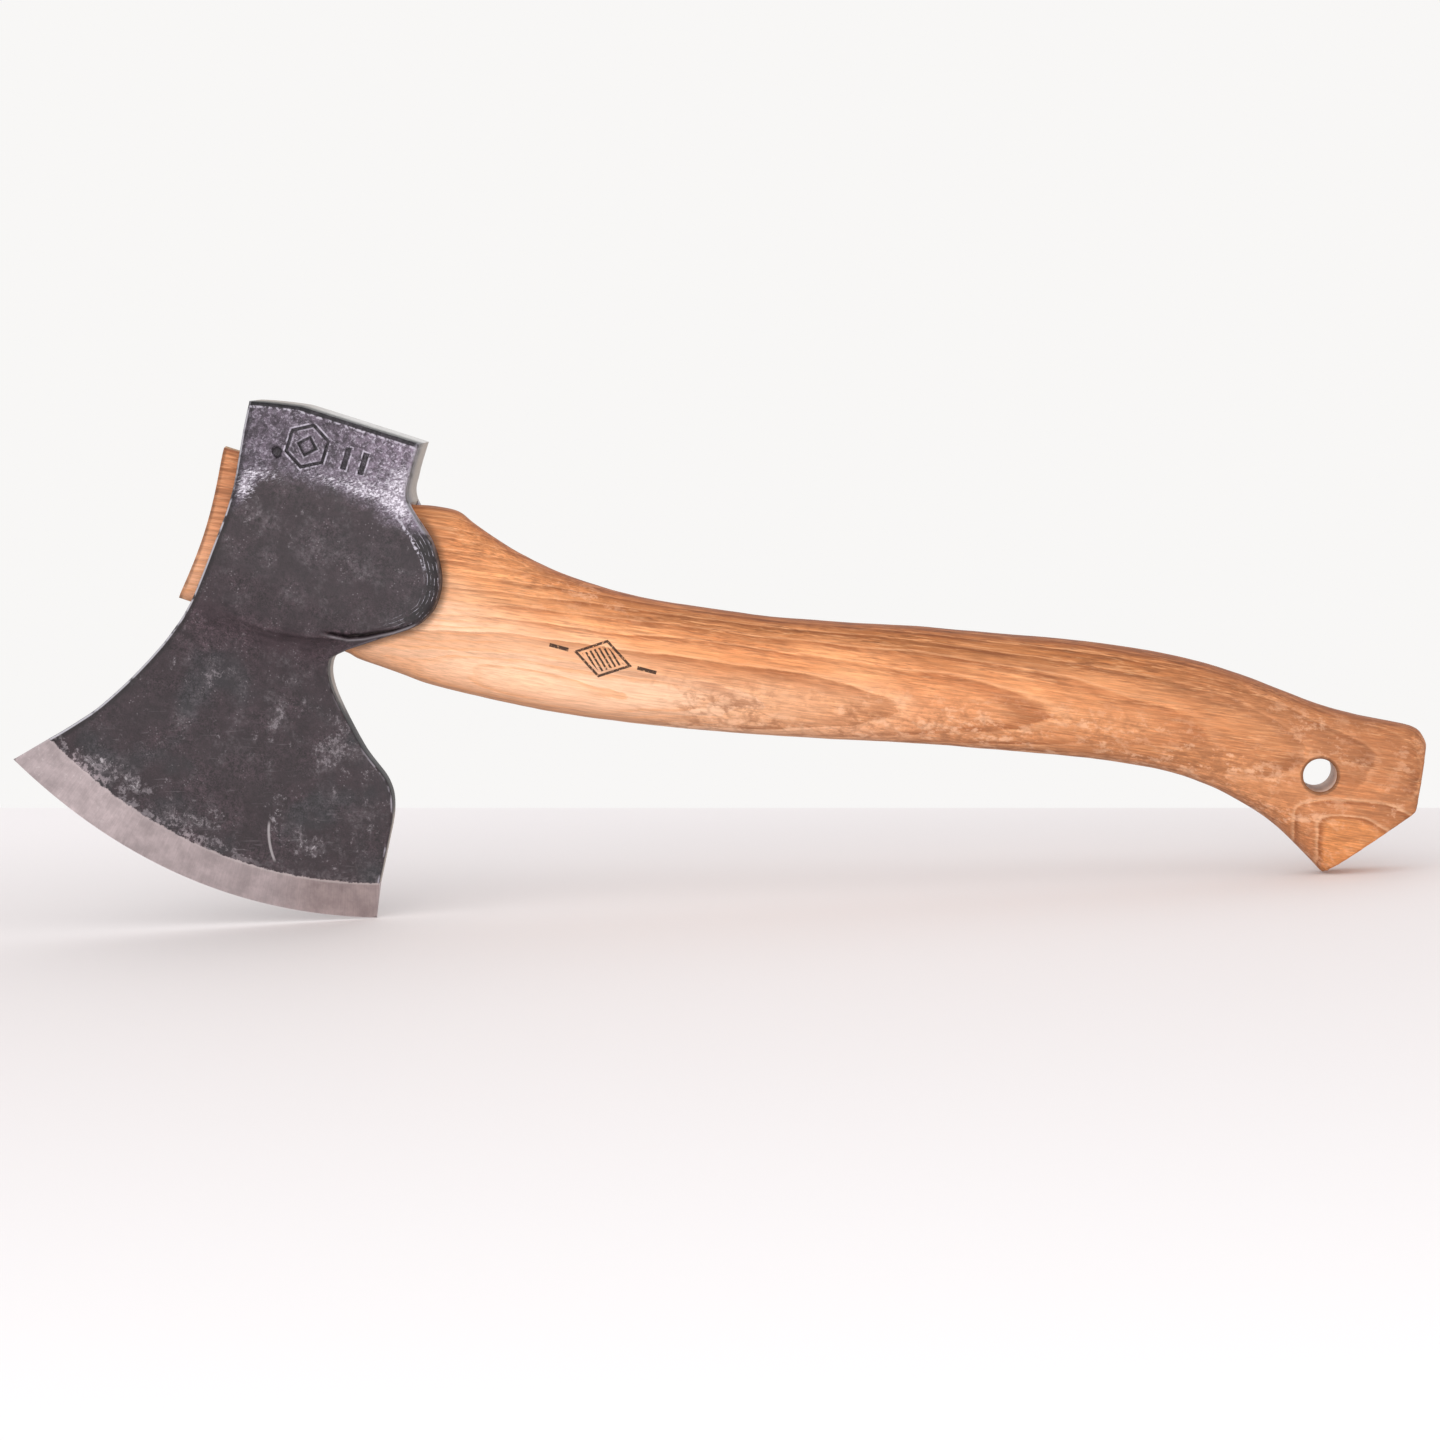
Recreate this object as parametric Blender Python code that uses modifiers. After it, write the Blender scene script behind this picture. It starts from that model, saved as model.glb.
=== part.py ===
"""Carving hatchet: a forged steel head on a curved hickory handle, locked by two wedges.

Everything is modelled in the head's own frame: the origin is the middle of the eye, +X runs along the eye
towards the butt of the handle, and +Z points to the poll, so the cutting edge is at -Z. Outlines are
(along, down) pairs in millimetres, where "down" is the distance from the eye towards the cutting edge.
Last, the hatchet empty is tilted and moved so that the tool rests on the heel of the bit and on the tip of
the knob, with the world origin under the middle of the tool.
"""

import math

import bmesh
import bpy
from mathutils import Vector

MM = 0.001
QUARTER_TURN = math.pi / 2
GAP = 0.3  # clearance between neighbouring pieces
CUTTER_REACH = 90.0  # half length of a cutter that goes right through a piece
FACET_ANGLE = math.radians(32)  # edges sharper than this are shaded as edges

# Eye of the head: a flat-sided oval hole, as wide as the tenon plus its clearance.
EYE_HALF_HEIGHT = 23.3
EYE_HALF_WIDTH = 9.0
EYE_ROUNDNESS = 2.6  # superellipse exponent: 2 is an ellipse, more is squarer

# Head, from the poll down to the cutting edge.
POLL_FACE = -41.2  # flat hammer face
CHEEK = 14.5  # half thickness over the eye, where the cheeks are flat
LUG_SLOT = ((27.5, -36.0), (80.0, -36.0), (80.0, 26.0), (19.8, 26.0))  # leaves the lugs as two plates
HEAD_STATIONS = (
    # left side, right side, bow of the line between them, half thickness and edge rounding at each side
    ((-26.2, -38.2), (23.9, -41.2), -2.6, (12.2, 12.2), (1.2, 1.2)),  # poll
    ((-25.5, -30.5), (24.0, -32.0), -0.6, (12.6, 12.6), (1.2, 1.2)),
    ((-24.4, -22.6), (25.6, -24.6), 0.0, (13.5, 13.4), (1.4, 1.6)),  # top of the eye
    ((-23.3, -14.6), (35.9, -15.3), 0.0, (14.7, 14.6), (1.6, 2.4)),  # lugs begin
    ((-23.1, -6.5), (41.2, -6.4), 0.0, (15.0, 15.0), (1.6, 2.8)),
    ((-23.7, 2.5), (42.0, 1.0), 1.5, (14.8, 15.0), (1.6, 2.8)),
    ((-24.4, 11.0), (40.3, 6.1), 4.5, (13.9, 14.8), (1.6, 2.4)),
    ((-25.2, 18.0), (37.0, 10.0), 6.6, (12.7, 14.3), (1.6, 1.8)),  # crease under the lugs
    ((-25.8, 21.5), (28.8, 16.0), 4.6, (11.4, 11.4), (1.6, 1.4)),
    ((-26.7, 25.2), (19.2, 23.4), 1.8, (9.9, 8.6), (1.6, 1.4)),  # bottom of the eye
    ((-28.0, 29.3), (16.8, 27.4), 1.4, (8.5, 6.8), (1.6, 1.3)),  # throat
    ((-31.2, 37.5), (20.3, 35.0), 1.8, (6.7, 5.5), (1.6, 1.2)),
    ((-36.8, 48.8), (32.7, 47.7), 4.0, (5.3, 4.4), (1.5, 1.1)),
    ((-43.4, 59.8), (42.8, 55.3), 7.0, (4.5, 4.0), (1.3, 1.0)),
    ((-48.3, 66.0), (46.7, 62.7), 9.0, (4.0, 3.7), (1.1, 0.9)),  # corner of the beard
    ((-52.2, 70.5), (48.1, 73.2), 10.2, (3.4, 3.2), (0.9, 0.8)),
    ((-54.8, 73.3), (49.1, 84.2), 11.1, (2.8, 2.8), (0.4, 0.4)),  # top of the ground bevel
)
EDGE_TOE = (-63.6, 82.9)
EDGE_HEEL = (51.2, 94.6)
EDGE_BOW = 11.6
ROWS_PER_STATION = 3
BEVEL_ROWS = 2
INNER_COLUMNS = 12
ROUNDING_STEPS = (0.0, 0.12, 0.42, 1.0)  # shares of the edge rounding where a line of points lies

# Handle: where along it, its upper side, its lower side, half width, section exponent.
TENON_END = -38.0  # before the end is trimmed
HANDLE_STATIONS = (
    (TENON_END, -23.0, 23.0, 8.7, 2.6),
    (-13.0, -23.0, 23.0, 8.7, 2.6),
    (9.0, -23.0, 23.0, 8.7, 2.6),
    (20.4, -23.0, 23.0, 8.7, 2.6),
    (23.0, -23.0, 23.9, 8.7, 2.6),
    (26.0, -23.0, 24.1, 8.7, 2.6),
    (31.0, -24.6, 24.2, 8.7, 2.6),
    (38.9, -25.5, 24.5, 8.7, 2.6),  # shoulder
    (43.5, -23.8, 24.8, 9.0, 2.5),
    (51.0, -21.4, 24.6, 9.5, 2.4),
    (60.0, -19.2, 23.9, 10.0, 2.3),
    (71.0, -17.6, 22.8, 10.4, 2.3),
    (85.0, -17.1, 21.1, 10.6, 2.3),
    (100.0, -18.2, 18.6, 10.7, 2.3),
    (118.0, -21.0, 15.0, 10.8, 2.3),
    (136.0, -24.3, 10.9, 10.8, 2.3),
    (154.0, -28.5, 6.3, 10.9, 2.3),
    (174.0, -33.7, 1.1, 11.0, 2.3),
    (194.0, -38.3, -4.0, 11.0, 2.3),
    (214.0, -42.8, -8.5, 11.0, 2.3),
    (235.0, -46.6, -13.1, 11.0, 2.3),
    (253.0, -48.7, -15.8, 11.0, 2.3),
    (267.0, -48.8, -15.8, 10.9, 2.4),
    (279.0, -48.1, -13.9, 10.8, 2.4),
    (290.0, -47.4, -10.6, 10.6, 2.5),
    (300.0, -47.7, -5.6, 10.3, 2.6),
    (309.0, -48.6, -0.2, 10.0, 2.6),
    (317.0, -49.5, 5.2, 9.7, 2.6),
    (320.4, -48.9, 7.5, 9.5, 2.6),
    (323.0, -46.5, 9.2, 9.4, 2.6),
    (329.0, -40.0, 13.0, 9.2, 2.6),
)
HANDLE_STEP = 6.0  # longest distance between the handle's sections
SECTION_POINTS = 32
KNOB_TOP = (323.5, -45.0)
KNOB_CORNER = (325.9, -27.0)
KNOB_TIP = (307.3, -2.7)
KNOB_EDGE = 1.2  # bevel on the sawn faces of the knob
KNOB_EDGE_ANGLE = math.radians(38)  # only edges sharper than this are bevelled
HANG_HOLE = (296.5, -28.8)
HANG_HOLE_RADIUS = 4.8
HANG_HOLE_FLARE = 0.6  # chamfer round the two mouths of the hole
HANG_HOLE_DEPTH = 10.4  # from the middle of the handle to each mouth
HANG_HOLE_SEGMENTS = 40
MOUTH_CUTTER = 10.0  # how far the cutter for the flare goes on outside each mouth

# Tenon end: sawn to a shallow hollow that follows the side of the head, a little proud of it.
TENON_HOLLOW_RADIUS = 105.0
TENON_HOLLOW_BOTTOM = -28.0
TENON_HOLLOW_SEGMENTS = 192

# Wooden wedge, driven into a saw kerf along the whole height of the tenon.
WEDGE_DEPTH = 36.0
WEDGE_HALF_THICK = 2.5
WEDGE_HALF_TIP = 0.5

# Steel wedge: a plate with three legs, driven across the wooden one.
STEEL_DEPTH = 20.0
STEEL_SPINE = 6.0
STEEL_HALF_THICK = 1.0
STEEL_HALF_TIP = 0.35
STEEL_LEGS = ((-6.6, -4.0), (-1.2, 1.2), (4.0, 6.6))  # from side to side

TILT_SEARCH = (math.radians(5), math.radians(40))
TILT_HALVINGS = 50

COLORS = {  # linear base colour, roughness, metallic
    "forged_steel": ((0.035, 0.034, 0.040, 1.0), 0.48, 0.75),
    "hickory": ((0.52, 0.27, 0.12, 1.0), 0.5, 0.0),
    "wedge_wood": ((0.62, 0.42, 0.23, 1.0), 0.6, 0.0),
    "wedge_steel": ((0.33, 0.33, 0.34, 1.0), 0.4, 1.0),
}


def clear_scene():
    for obj in list(bpy.data.objects):
        bpy.data.objects.remove(obj, do_unlink=True)


def new_collection(name):
    collection = bpy.data.collections.new(name)
    bpy.context.scene.collection.children.link(collection)
    return collection


def material(name):
    base, roughness, metallic = COLORS[name]
    mat = bpy.data.materials.new(name)
    mat.use_nodes = True
    shader = mat.node_tree.nodes["Principled BSDF"]
    shader.inputs["Base Color"].default_value = base
    shader.inputs["Roughness"].default_value = roughness
    shader.inputs["Metallic"].default_value = metallic
    return mat


def at(along, side, down):
    """A point of the head's frame from distances in millimetres."""
    return Vector((along, side, -down)) * MM


def new_object(name, bm, collection):
    """An object from a bmesh, in a collection."""
    mesh = bpy.data.meshes.new(name)
    bm.to_mesh(mesh)
    bm.free()
    obj = bpy.data.objects.new(name, mesh)
    collection.objects.link(obj)
    return obj


def hermite(before, here, after, beyond, f):
    """Smooth value between here and after, for a share f of the way."""
    slope_in = (after - before) / 2
    slope_out = (beyond - here) / 2
    f2 = f * f
    f3 = f2 * f
    return (
        (2 * f3 - 3 * f2 + 1) * here
        + (f3 - 2 * f2 + f) * slope_in
        + (3 * f2 - 2 * f3) * after
        + (f3 - f2) * slope_out
    )


def smooth_row(rows, position):
    """The row of numbers at a fractional position in a list of rows, on a smooth curve through them."""
    i = min(int(position), len(rows) - 2)
    near = [rows[min(max(k, 0), len(rows) - 1)] for k in (i - 1, i, i + 1, i + 2)]
    return [hermite(*four, position - i) for four in zip(*near)]


def flat_station(station):
    """A head station as a plain row of numbers."""
    left, right, bow, half, rounding = station
    return [*left, *right, bow, *half, *rounding]


def fillet(distance, radius):
    """How far a rounded edge has dropped at a distance in from the edge."""
    if radius <= 0 or distance >= radius:
        return 0.0
    return radius - math.sqrt(max(radius**2 - (radius - distance) ** 2, 0.0))


def row_points(numbers, top_drop):
    """One line of points across the near half of the head, from the left midline to the right midline."""
    left_x, left_z, right_x, right_z, bow, half_left, half_right, round_left, round_right = numbers
    width = math.hypot(right_x - left_x, right_z - left_z)
    insets = [(step * round_left / width, step * round_left, round_left) for step in ROUNDING_STEPS]
    start = round_left / width
    stop = 1.0 - round_right / width
    inner = [
        (start + (stop - start) * k / INNER_COLUMNS, round_left, round_left)
        for k in range(1, INNER_COLUMNS)
    ]
    outsets = [
        (1.0 - step * round_right / width, step * round_right, round_right)
        for step in reversed(ROUNDING_STEPS)
    ]
    points = []
    for share, distance, radius in insets + inner + outsets:
        along = left_x + (right_x - left_x) * share
        down = left_z + (right_z - left_z) * share + bow * 4 * share * (1 - share)
        half = min(half_left + (half_right - half_left) * share, CHEEK)
        half -= max(fillet(distance, radius), top_drop)
        points.append(at(along, -half, max(down, POLL_FACE)))
    midline = [Vector((p.x, 0.0, p.z)) for p in (points[0], points[-1])]
    return [midline[0], *points, midline[1]]


def head_rows():
    """Lines of points from the poll to the cutting edge. The outermost ones lie on the plane of symmetry."""
    stations = [flat_station(s) for s in HEAD_STATIONS]
    poll_rounding = HEAD_STATIONS[0][4][0]
    first_gap = HEAD_STATIONS[1][0][1] - HEAD_STATIONS[0][0][1]
    positions = [(step * poll_rounding / first_gap, step * poll_rounding) for step in ROUNDING_STEPS]
    count = (len(stations) - 1) * ROWS_PER_STATION
    positions += [(k / ROWS_PER_STATION, poll_rounding) for k in range(1, count + 1)]
    rows = [
        row_points(smooth_row(stations, position), fillet(distance, poll_rounding))
        for position, distance in positions
    ]
    rows.insert(0, [Vector((p.x, 0.0, p.z)) for p in rows[0]])
    edge = [*EDGE_TOE, *EDGE_HEEL, EDGE_BOW, 0.0, 0.0, 0.0, 0.0]
    for k in range(1, BEVEL_ROWS + 1):
        f = k / BEVEL_ROWS
        between = [a + (b - a) * f for a, b in zip(stations[-1], edge)]
        rows.append(row_points(between, 0.0))
    return rows


def make_head(collection):
    bm = bmesh.new()
    grid = [[bm.verts.new(p) for p in row] for row in head_rows()]
    for upper, lower in zip(grid, grid[1:]):
        for k in range(len(upper) - 1):
            bm.faces.new((upper[k], lower[k], lower[k + 1], upper[k + 1]))
    bmesh.ops.remove_doubles(bm, verts=bm.verts, dist=0.001 * MM)
    head = new_object("head", bm, collection)
    mirror = head.modifiers.new("other_half", "MIRROR")
    mirror.use_axis = (False, True, False)
    mirror.merge_threshold = 0.01 * MM
    return head


def oval(half_width, upper, lower, exponent, count=SECTION_POINTS):
    """(side, down) points of a superellipse, anticlockwise when seen from the butt."""
    middle = (upper + lower) / 2
    half_height = (lower - upper) / 2
    points = []
    for k in range(count):
        angle = 2 * math.pi * k / count
        c, s = math.cos(angle), math.sin(angle)
        side = half_width * math.copysign(abs(c) ** (2 / exponent), c)
        points.append((side, middle - half_height * math.copysign(abs(s) ** (2 / exponent), s)))
    return points


def loft(name, sections, collection):
    """A closed solid through rings of (side, down) points, each at its own place along the handle."""
    bm = bmesh.new()
    rings = [[bm.verts.new(at(along, side, down)) for side, down in ring] for along, ring in sections]
    for near, far in zip(rings, rings[1:]):
        for k in range(len(near)):
            n = (k + 1) % len(near)
            bm.faces.new((near[k], near[n], far[n], far[k]))
    bm.faces.new(reversed(rings[0]))
    bm.faces.new(rings[-1])
    bmesh.ops.recalc_face_normals(bm, faces=bm.faces)
    return new_object(name, bm, collection)


def handle_sections():
    sections = []
    for i in range(len(HANDLE_STATIONS) - 1):
        length = HANDLE_STATIONS[i + 1][0] - HANDLE_STATIONS[i][0]
        steps = max(1, math.ceil(length / HANDLE_STEP))
        for k in range(steps):
            sections.append(smooth_row(HANDLE_STATIONS, i + k / steps))
    sections.append(list(HANDLE_STATIONS[-1]))
    return [(along, oval(half, top, low, n)) for along, top, low, half, n in sections]


def trim(obj, start, end):
    """Saws off what lies beyond the straight line between two (along, down) points."""
    normal = Vector((start[1] - end[1], 0.0, start[0] - end[0])).normalized()
    bm = bmesh.new()
    bm.from_mesh(obj.data)
    cut = bmesh.ops.bisect_plane(
        bm,
        geom=[*bm.verts, *bm.edges, *bm.faces],
        plane_co=at(start[0], 0.0, start[1]),
        plane_no=normal,
        clear_outer=True,
    )
    edges = [e for e in cut["geom_cut"] if isinstance(e, bmesh.types.BMEdge)]
    bmesh.ops.contextual_create(bm, geom=edges)
    bmesh.ops.recalc_face_normals(bm, faces=bm.faces)
    bm.to_mesh(obj.data)
    bm.free()


def prism(name, outline, low, high, axis, collection):
    """A straight solid: an outline of (a, b) millimetres, extruded from low to high along Y or Z."""
    place = {"Y": lambda a, b, c: at(a, c, b), "Z": lambda a, b, c: at(a, b, c)}[axis]
    bm = bmesh.new()
    face = bm.faces.new([bm.verts.new(place(a, b, low)) for a, b in outline])
    moved = bmesh.ops.extrude_face_region(bm, geom=[face])["geom"]
    shift = place(0.0, 0.0, high) - place(0.0, 0.0, low)
    bmesh.ops.translate(bm, verts=[v for v in moved if isinstance(v, bmesh.types.BMVert)], vec=shift)
    bmesh.ops.recalc_face_normals(bm, faces=bm.faces)
    return new_object(name, bm, collection)


def cross_cylinder(name, along, down, radius, half_length, segments, collection):
    """A plain cylinder across the tool, on an axis square to its plane of symmetry."""
    bm = bmesh.new()
    bmesh.ops.create_cone(
        bm,
        cap_ends=True,
        segments=segments,
        radius1=radius * MM,
        radius2=radius * MM,
        depth=2 * half_length * MM,
    )
    obj = new_object(name, bm, collection)
    obj.rotation_euler.x = QUARTER_TURN
    obj.location = at(along, 0.0, down)
    return obj


def cross_spindle(name, along, down, profile, segments, collection):
    """A turned body across the tool, from (radius, height) pairs that start and end on its axis."""
    bm = bmesh.new()
    points = [bm.verts.new(Vector((radius, 0.0, height)) * MM) for radius, height in profile]
    for upper, lower in zip(points, points[1:]):
        bm.edges.new((upper, lower))
    obj = new_object(name, bm, collection)
    screw = obj.modifiers.new("turned", "SCREW")
    screw.axis = "Z"
    screw.steps = segments
    screw.render_steps = segments
    screw.use_merge_vertices = True
    screw.merge_threshold = 0.01 * MM
    obj.rotation_euler.x = QUARTER_TURN
    obj.location = at(along, 0.0, down)
    return obj


def boolean(obj, other, operation="DIFFERENCE"):
    modifier = obj.modifiers.new(f"{operation.lower()}_{other.name}", "BOOLEAN")
    modifier.operation = operation
    modifier.object = other


def steel_outline(grow):
    """The steel wedge in plan, as (along, side): a spine with three legs, grown by a clearance."""
    end = TENON_END
    spine = TENON_HOLLOW_BOTTOM + STEEL_SPINE + grow
    tip = TENON_HOLLOW_BOTTOM + STEEL_DEPTH + grow
    low = STEEL_LEGS[0][0] - grow
    outline = [(end, low)]
    for k, (first, last) in enumerate(STEEL_LEGS):
        if k:
            outline.append((spine, first - grow))
        outline.append((tip, first - grow))
        outline.append((tip, last + grow))
        if k < len(STEEL_LEGS) - 1:
            outline.append((spine, last + grow))
    outline.append((end, STEEL_LEGS[-1][1] + grow))
    return outline


def steel_plate(name, grow, collection):
    """The three-legged plate, thinner towards the tips of its legs."""
    half = STEEL_HALF_THICK + grow
    plate = prism(name, steel_outline(grow), -half, half, "Z", collection)
    start = TENON_HOLLOW_BOTTOM * MM
    slope = (STEEL_HALF_THICK - STEEL_HALF_TIP) / STEEL_DEPTH
    for vertex in plate.data.vertices:
        inside = max(vertex.co.x - start, 0.0)
        vertex.co.z -= math.copysign(slope * inside, vertex.co.z)
    return plate


def wedge_slab(name, grow, height, collection):
    """The tapered slab of the wooden wedge, or of its kerf when it is grown by a clearance."""
    tip = TENON_HOLLOW_BOTTOM + WEDGE_DEPTH + grow
    taper = (WEDGE_HALF_THICK - WEDGE_HALF_TIP) / WEDGE_DEPTH
    thick = WEDGE_HALF_THICK + taper * (TENON_HOLLOW_BOTTOM - TENON_END) + grow
    thin = WEDGE_HALF_TIP + grow
    outline = [(TENON_END, -thick), (tip, -thin), (tip, thin), (TENON_END, thick)]
    return prism(name, outline, -height, height, "Z", collection)


def bevel_cut_edges(obj, width):
    """Softens only the edges where sawn faces meet the rest."""
    modifier = obj.modifiers.new("softened_edges", "BEVEL")
    modifier.width = width * MM
    modifier.segments = 2
    modifier.limit_method = "ANGLE"
    modifier.angle_limit = KNOB_EDGE_ANGLE


def shade(obj, mat):
    obj.data.materials.append(bpy.data.materials.get(mat) or material(mat))
    obj.data.shade_smooth()
    obj.data.set_sharp_from_angle(angle=FACET_ANGLE)


def resting_tilt(head, handle):
    """The tilt about Y that brings the bit and the knob down to one level.

    It returns the tilt, the height of that level from the eye, and the middle of the tool's length.
    """
    graph = bpy.context.evaluated_depsgraph_get()
    low, high = TILT_SEARCH
    points = []
    for obj in (head, handle):
        mesh = obj.evaluated_get(graph).to_mesh()
        points.append([v.co.copy() for v in mesh.vertices])
        obj.evaluated_get(graph).to_mesh_clear()

    def lowest(cloud, tilt):
        return min(p.z * math.cos(tilt) - p.x * math.sin(tilt) for p in cloud)

    for _ in range(TILT_HALVINGS):
        tilt = (low + high) / 2
        if lowest(points[0], tilt) < lowest(points[1], tilt):
            low = tilt
        else:
            high = tilt
    floor = min(lowest(cloud, tilt) for cloud in points)
    spread = [p.x * math.cos(tilt) + p.z * math.sin(tilt) for cloud in points for p in cloud]
    return tilt, floor, (min(spread) + max(spread)) / 2


def main():
    clear_scene()
    parts = new_collection("carving_hatchet")
    cutters = new_collection("cutters")

    eye_ring = oval(EYE_HALF_WIDTH, -EYE_HALF_HEIGHT, EYE_HALF_HEIGHT, EYE_ROUNDNESS)
    eye = loft("eye_cutter", [(-CUTTER_REACH, eye_ring), (CUTTER_REACH, eye_ring)], cutters)
    slot = prism("lug_slot_cutter", LUG_SLOT, -EYE_HALF_WIDTH, EYE_HALF_WIDTH, "Y", cutters)
    hollow = cross_cylinder(
        "tenon_end_cutter",
        TENON_HOLLOW_BOTTOM - TENON_HOLLOW_RADIUS,
        0.0,
        TENON_HOLLOW_RADIUS,
        CUTTER_REACH,
        TENON_HOLLOW_SEGMENTS,
        cutters,
    )
    kerf = wedge_slab("kerf_cutter", GAP, CUTTER_REACH, cutters)
    steel_hole = steel_plate("steel_wedge_cutter", GAP, cutters)
    mouth = HANG_HOLE_DEPTH - HANG_HOLE_FLARE
    far = mouth + MOUTH_CUTTER
    wide = HANG_HOLE_RADIUS + MOUTH_CUTTER
    spindle = (
        (0.0, far),
        (wide, far),
        (HANG_HOLE_RADIUS, mouth),
        (HANG_HOLE_RADIUS, -mouth),
        (wide, -far),
        (0.0, -far),
    )
    hang_hole = cross_spindle("hang_hole_cutter", *HANG_HOLE, spindle, HANG_HOLE_SEGMENTS, cutters)
    tenon_ring = oval(EYE_HALF_WIDTH - GAP, -EYE_HALF_HEIGHT + GAP, EYE_HALF_HEIGHT - GAP, EYE_ROUNDNESS)
    tenon = loft("tenon_envelope", [(-CUTTER_REACH, tenon_ring), (CUTTER_REACH, tenon_ring)], cutters)

    head = make_head(parts)
    boolean(head, eye)
    boolean(head, slot)

    handle = loft("handle", handle_sections(), parts)
    trim(handle, KNOB_TIP, KNOB_CORNER)
    trim(handle, KNOB_CORNER, KNOB_TOP)
    bevel_cut_edges(handle, KNOB_EDGE)
    for cutter in (hollow, kerf, steel_hole, hang_hole):
        boolean(handle, cutter)

    wooden_wedge = wedge_slab("wooden_wedge", 0.0, CUTTER_REACH, parts)
    boolean(wooden_wedge, tenon, "INTERSECT")
    boolean(wooden_wedge, hollow)
    boolean(wooden_wedge, steel_hole)

    steel_wedge = steel_plate("steel_wedge", 0.0, parts)
    boolean(steel_wedge, hollow)

    for obj, mat in (
        (head, "forged_steel"),
        (handle, "hickory"),
        (wooden_wedge, "wedge_wood"),
        (steel_wedge, "wedge_steel"),
    ):
        shade(obj, mat)
    for cutter in cutters.objects:
        cutter.hide_render = True
        cutter.display_type = "WIRE"

    tilt, floor, middle = resting_tilt(head, handle)
    hatchet = bpy.data.objects.new("hatchet", None)
    parts.objects.link(hatchet)
    for obj in (*cutters.objects, head, handle, wooden_wedge, steel_wedge):
        obj.parent = hatchet
    hatchet.rotation_euler.y = tilt
    hatchet.location = (-middle, 0.0, -floor)


main()
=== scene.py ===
"""Carving hatchet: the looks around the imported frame.

The head and the handle are rebuilt with finer meshes from the same outlines as the solids. Both are made in
the head's own frame: +X ("along") runs from the eye to the butt, +Y is across, and -Z ("down") goes to the
cutting edge. Every mesh keeps that position as the attribute "design", in millimetres, for its material.
"""

import math
from types import SimpleNamespace

import bmesh
import bpy
import numpy as np
from mathutils import Matrix, Vector, noise


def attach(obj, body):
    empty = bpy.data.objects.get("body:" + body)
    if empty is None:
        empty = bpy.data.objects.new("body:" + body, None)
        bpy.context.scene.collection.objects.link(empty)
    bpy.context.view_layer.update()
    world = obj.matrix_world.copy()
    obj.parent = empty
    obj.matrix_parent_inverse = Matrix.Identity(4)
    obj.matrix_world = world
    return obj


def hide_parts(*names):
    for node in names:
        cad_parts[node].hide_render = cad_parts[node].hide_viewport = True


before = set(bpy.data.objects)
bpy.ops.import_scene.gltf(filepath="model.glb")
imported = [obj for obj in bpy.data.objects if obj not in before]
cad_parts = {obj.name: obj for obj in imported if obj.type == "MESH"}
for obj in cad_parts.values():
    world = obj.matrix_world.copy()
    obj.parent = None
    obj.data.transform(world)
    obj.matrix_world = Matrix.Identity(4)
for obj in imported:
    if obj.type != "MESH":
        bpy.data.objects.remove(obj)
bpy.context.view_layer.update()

MM = 0.001
TILT = math.radians(20.67945)  # how far the tool leans where it stands on its heel and its knob
EYE_PLACE = (-0.115013, 0, 0.106586)
PLACE = Matrix.Translation(EYE_PLACE) @ Matrix.Rotation(TILT, 4, "Y")

# ---------------------------------------------------------------- shape of the head, as in the solids

EYE_HALF_HEIGHT = 23.3
EYE_HALF_WIDTH = 9
ROUNDNESS = 2.6
POLL_FACE = -41.2
CHEEK = 14.5
LUG_SLOT = ((27.5, -36), (80, -36), (80, 26), (19.8, 26))
HEAD_STATIONS = (
    # left side, right side, bow of the line between them, half thickness and edge rounding at each side
    ((-26.2, -38.2), (23.9, -41.2), -2.6, (12.2, 12.2), (1.2, 1.2)),  # poll
    ((-25.5, -30.5), (24, -32), -0.6, (12.6, 12.6), (1.2, 1.2)),
    ((-24.4, -22.6), (25.6, -24.6), 0, (13.5, 13.4), (1.4, 1.6)),  # top of the eye
    ((-23.3, -14.6), (35.9, -15.3), 0, (14.7, 14.6), (1.6, 2.4)),  # lugs begin
    ((-23.1, -6.5), (41.2, -6.4), 0, (15, 15), (1.6, 2.8)),
    ((-23.7, 2.5), (42, 1), 1.5, (14.8, 15), (1.6, 2.8)),
    ((-24.4, 11), (40.3, 6.1), 4.5, (13.9, 14.8), (1.6, 2.4)),
    ((-25.2, 18), (37, 10), 6.6, (12.7, 14.3), (1.6, 1.8)),  # crease under the lugs
    ((-25.8, 21.5), (28.8, 16), 4.6, (11.4, 11.4), (1.6, 1.4)),
    ((-26.7, 25.2), (19.2, 23.4), 1.8, (9.9, 8.6), (1.6, 1.4)),  # bottom of the eye
    ((-28, 29.3), (16.8, 27.4), 1.4, (8.5, 6.8), (1.6, 1.3)),  # throat
    ((-31.2, 37.5), (20.3, 35), 1.8, (6.7, 5.5), (1.6, 1.2)),
    ((-36.8, 48.8), (32.7, 47.7), 4, (5.3, 4.4), (1.5, 1.1)),
    ((-43.4, 59.8), (42.8, 55.3), 7, (4.5, 4), (1.3, 1)),
    ((-48.3, 66), (46.7, 62.7), 9, (4, 3.7), (1.1, 0.9)),  # corner of the beard
    ((-52.2, 70.5), (48.1, 73.2), 10.2, (3.4, 3.2), (0.9, 0.8)),
    ((-54.8, 73.3), (49.1, 84.2), 11.1, (2.8, 2.8), (0.4, 0.4)),  # top of the ground bevel
)
EDGE_TOE = (-63.6, 82.9)
EDGE_HEEL = (51.2, 94.6)
EDGE_BOW = 11.6
ROWS_PER_STATION = 10
BEVEL_ROWS = 14
INNER_COLUMNS = 84
ROUNDING_STEPS = (0, 0.04, 0.12, 0.24, 0.4, 0.62, 1)
OUTLINE_CALM = 3  # the hammer marks fade out this near to the outline
BEVEL_CALM = 4
POLL_CALM = 2
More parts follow.
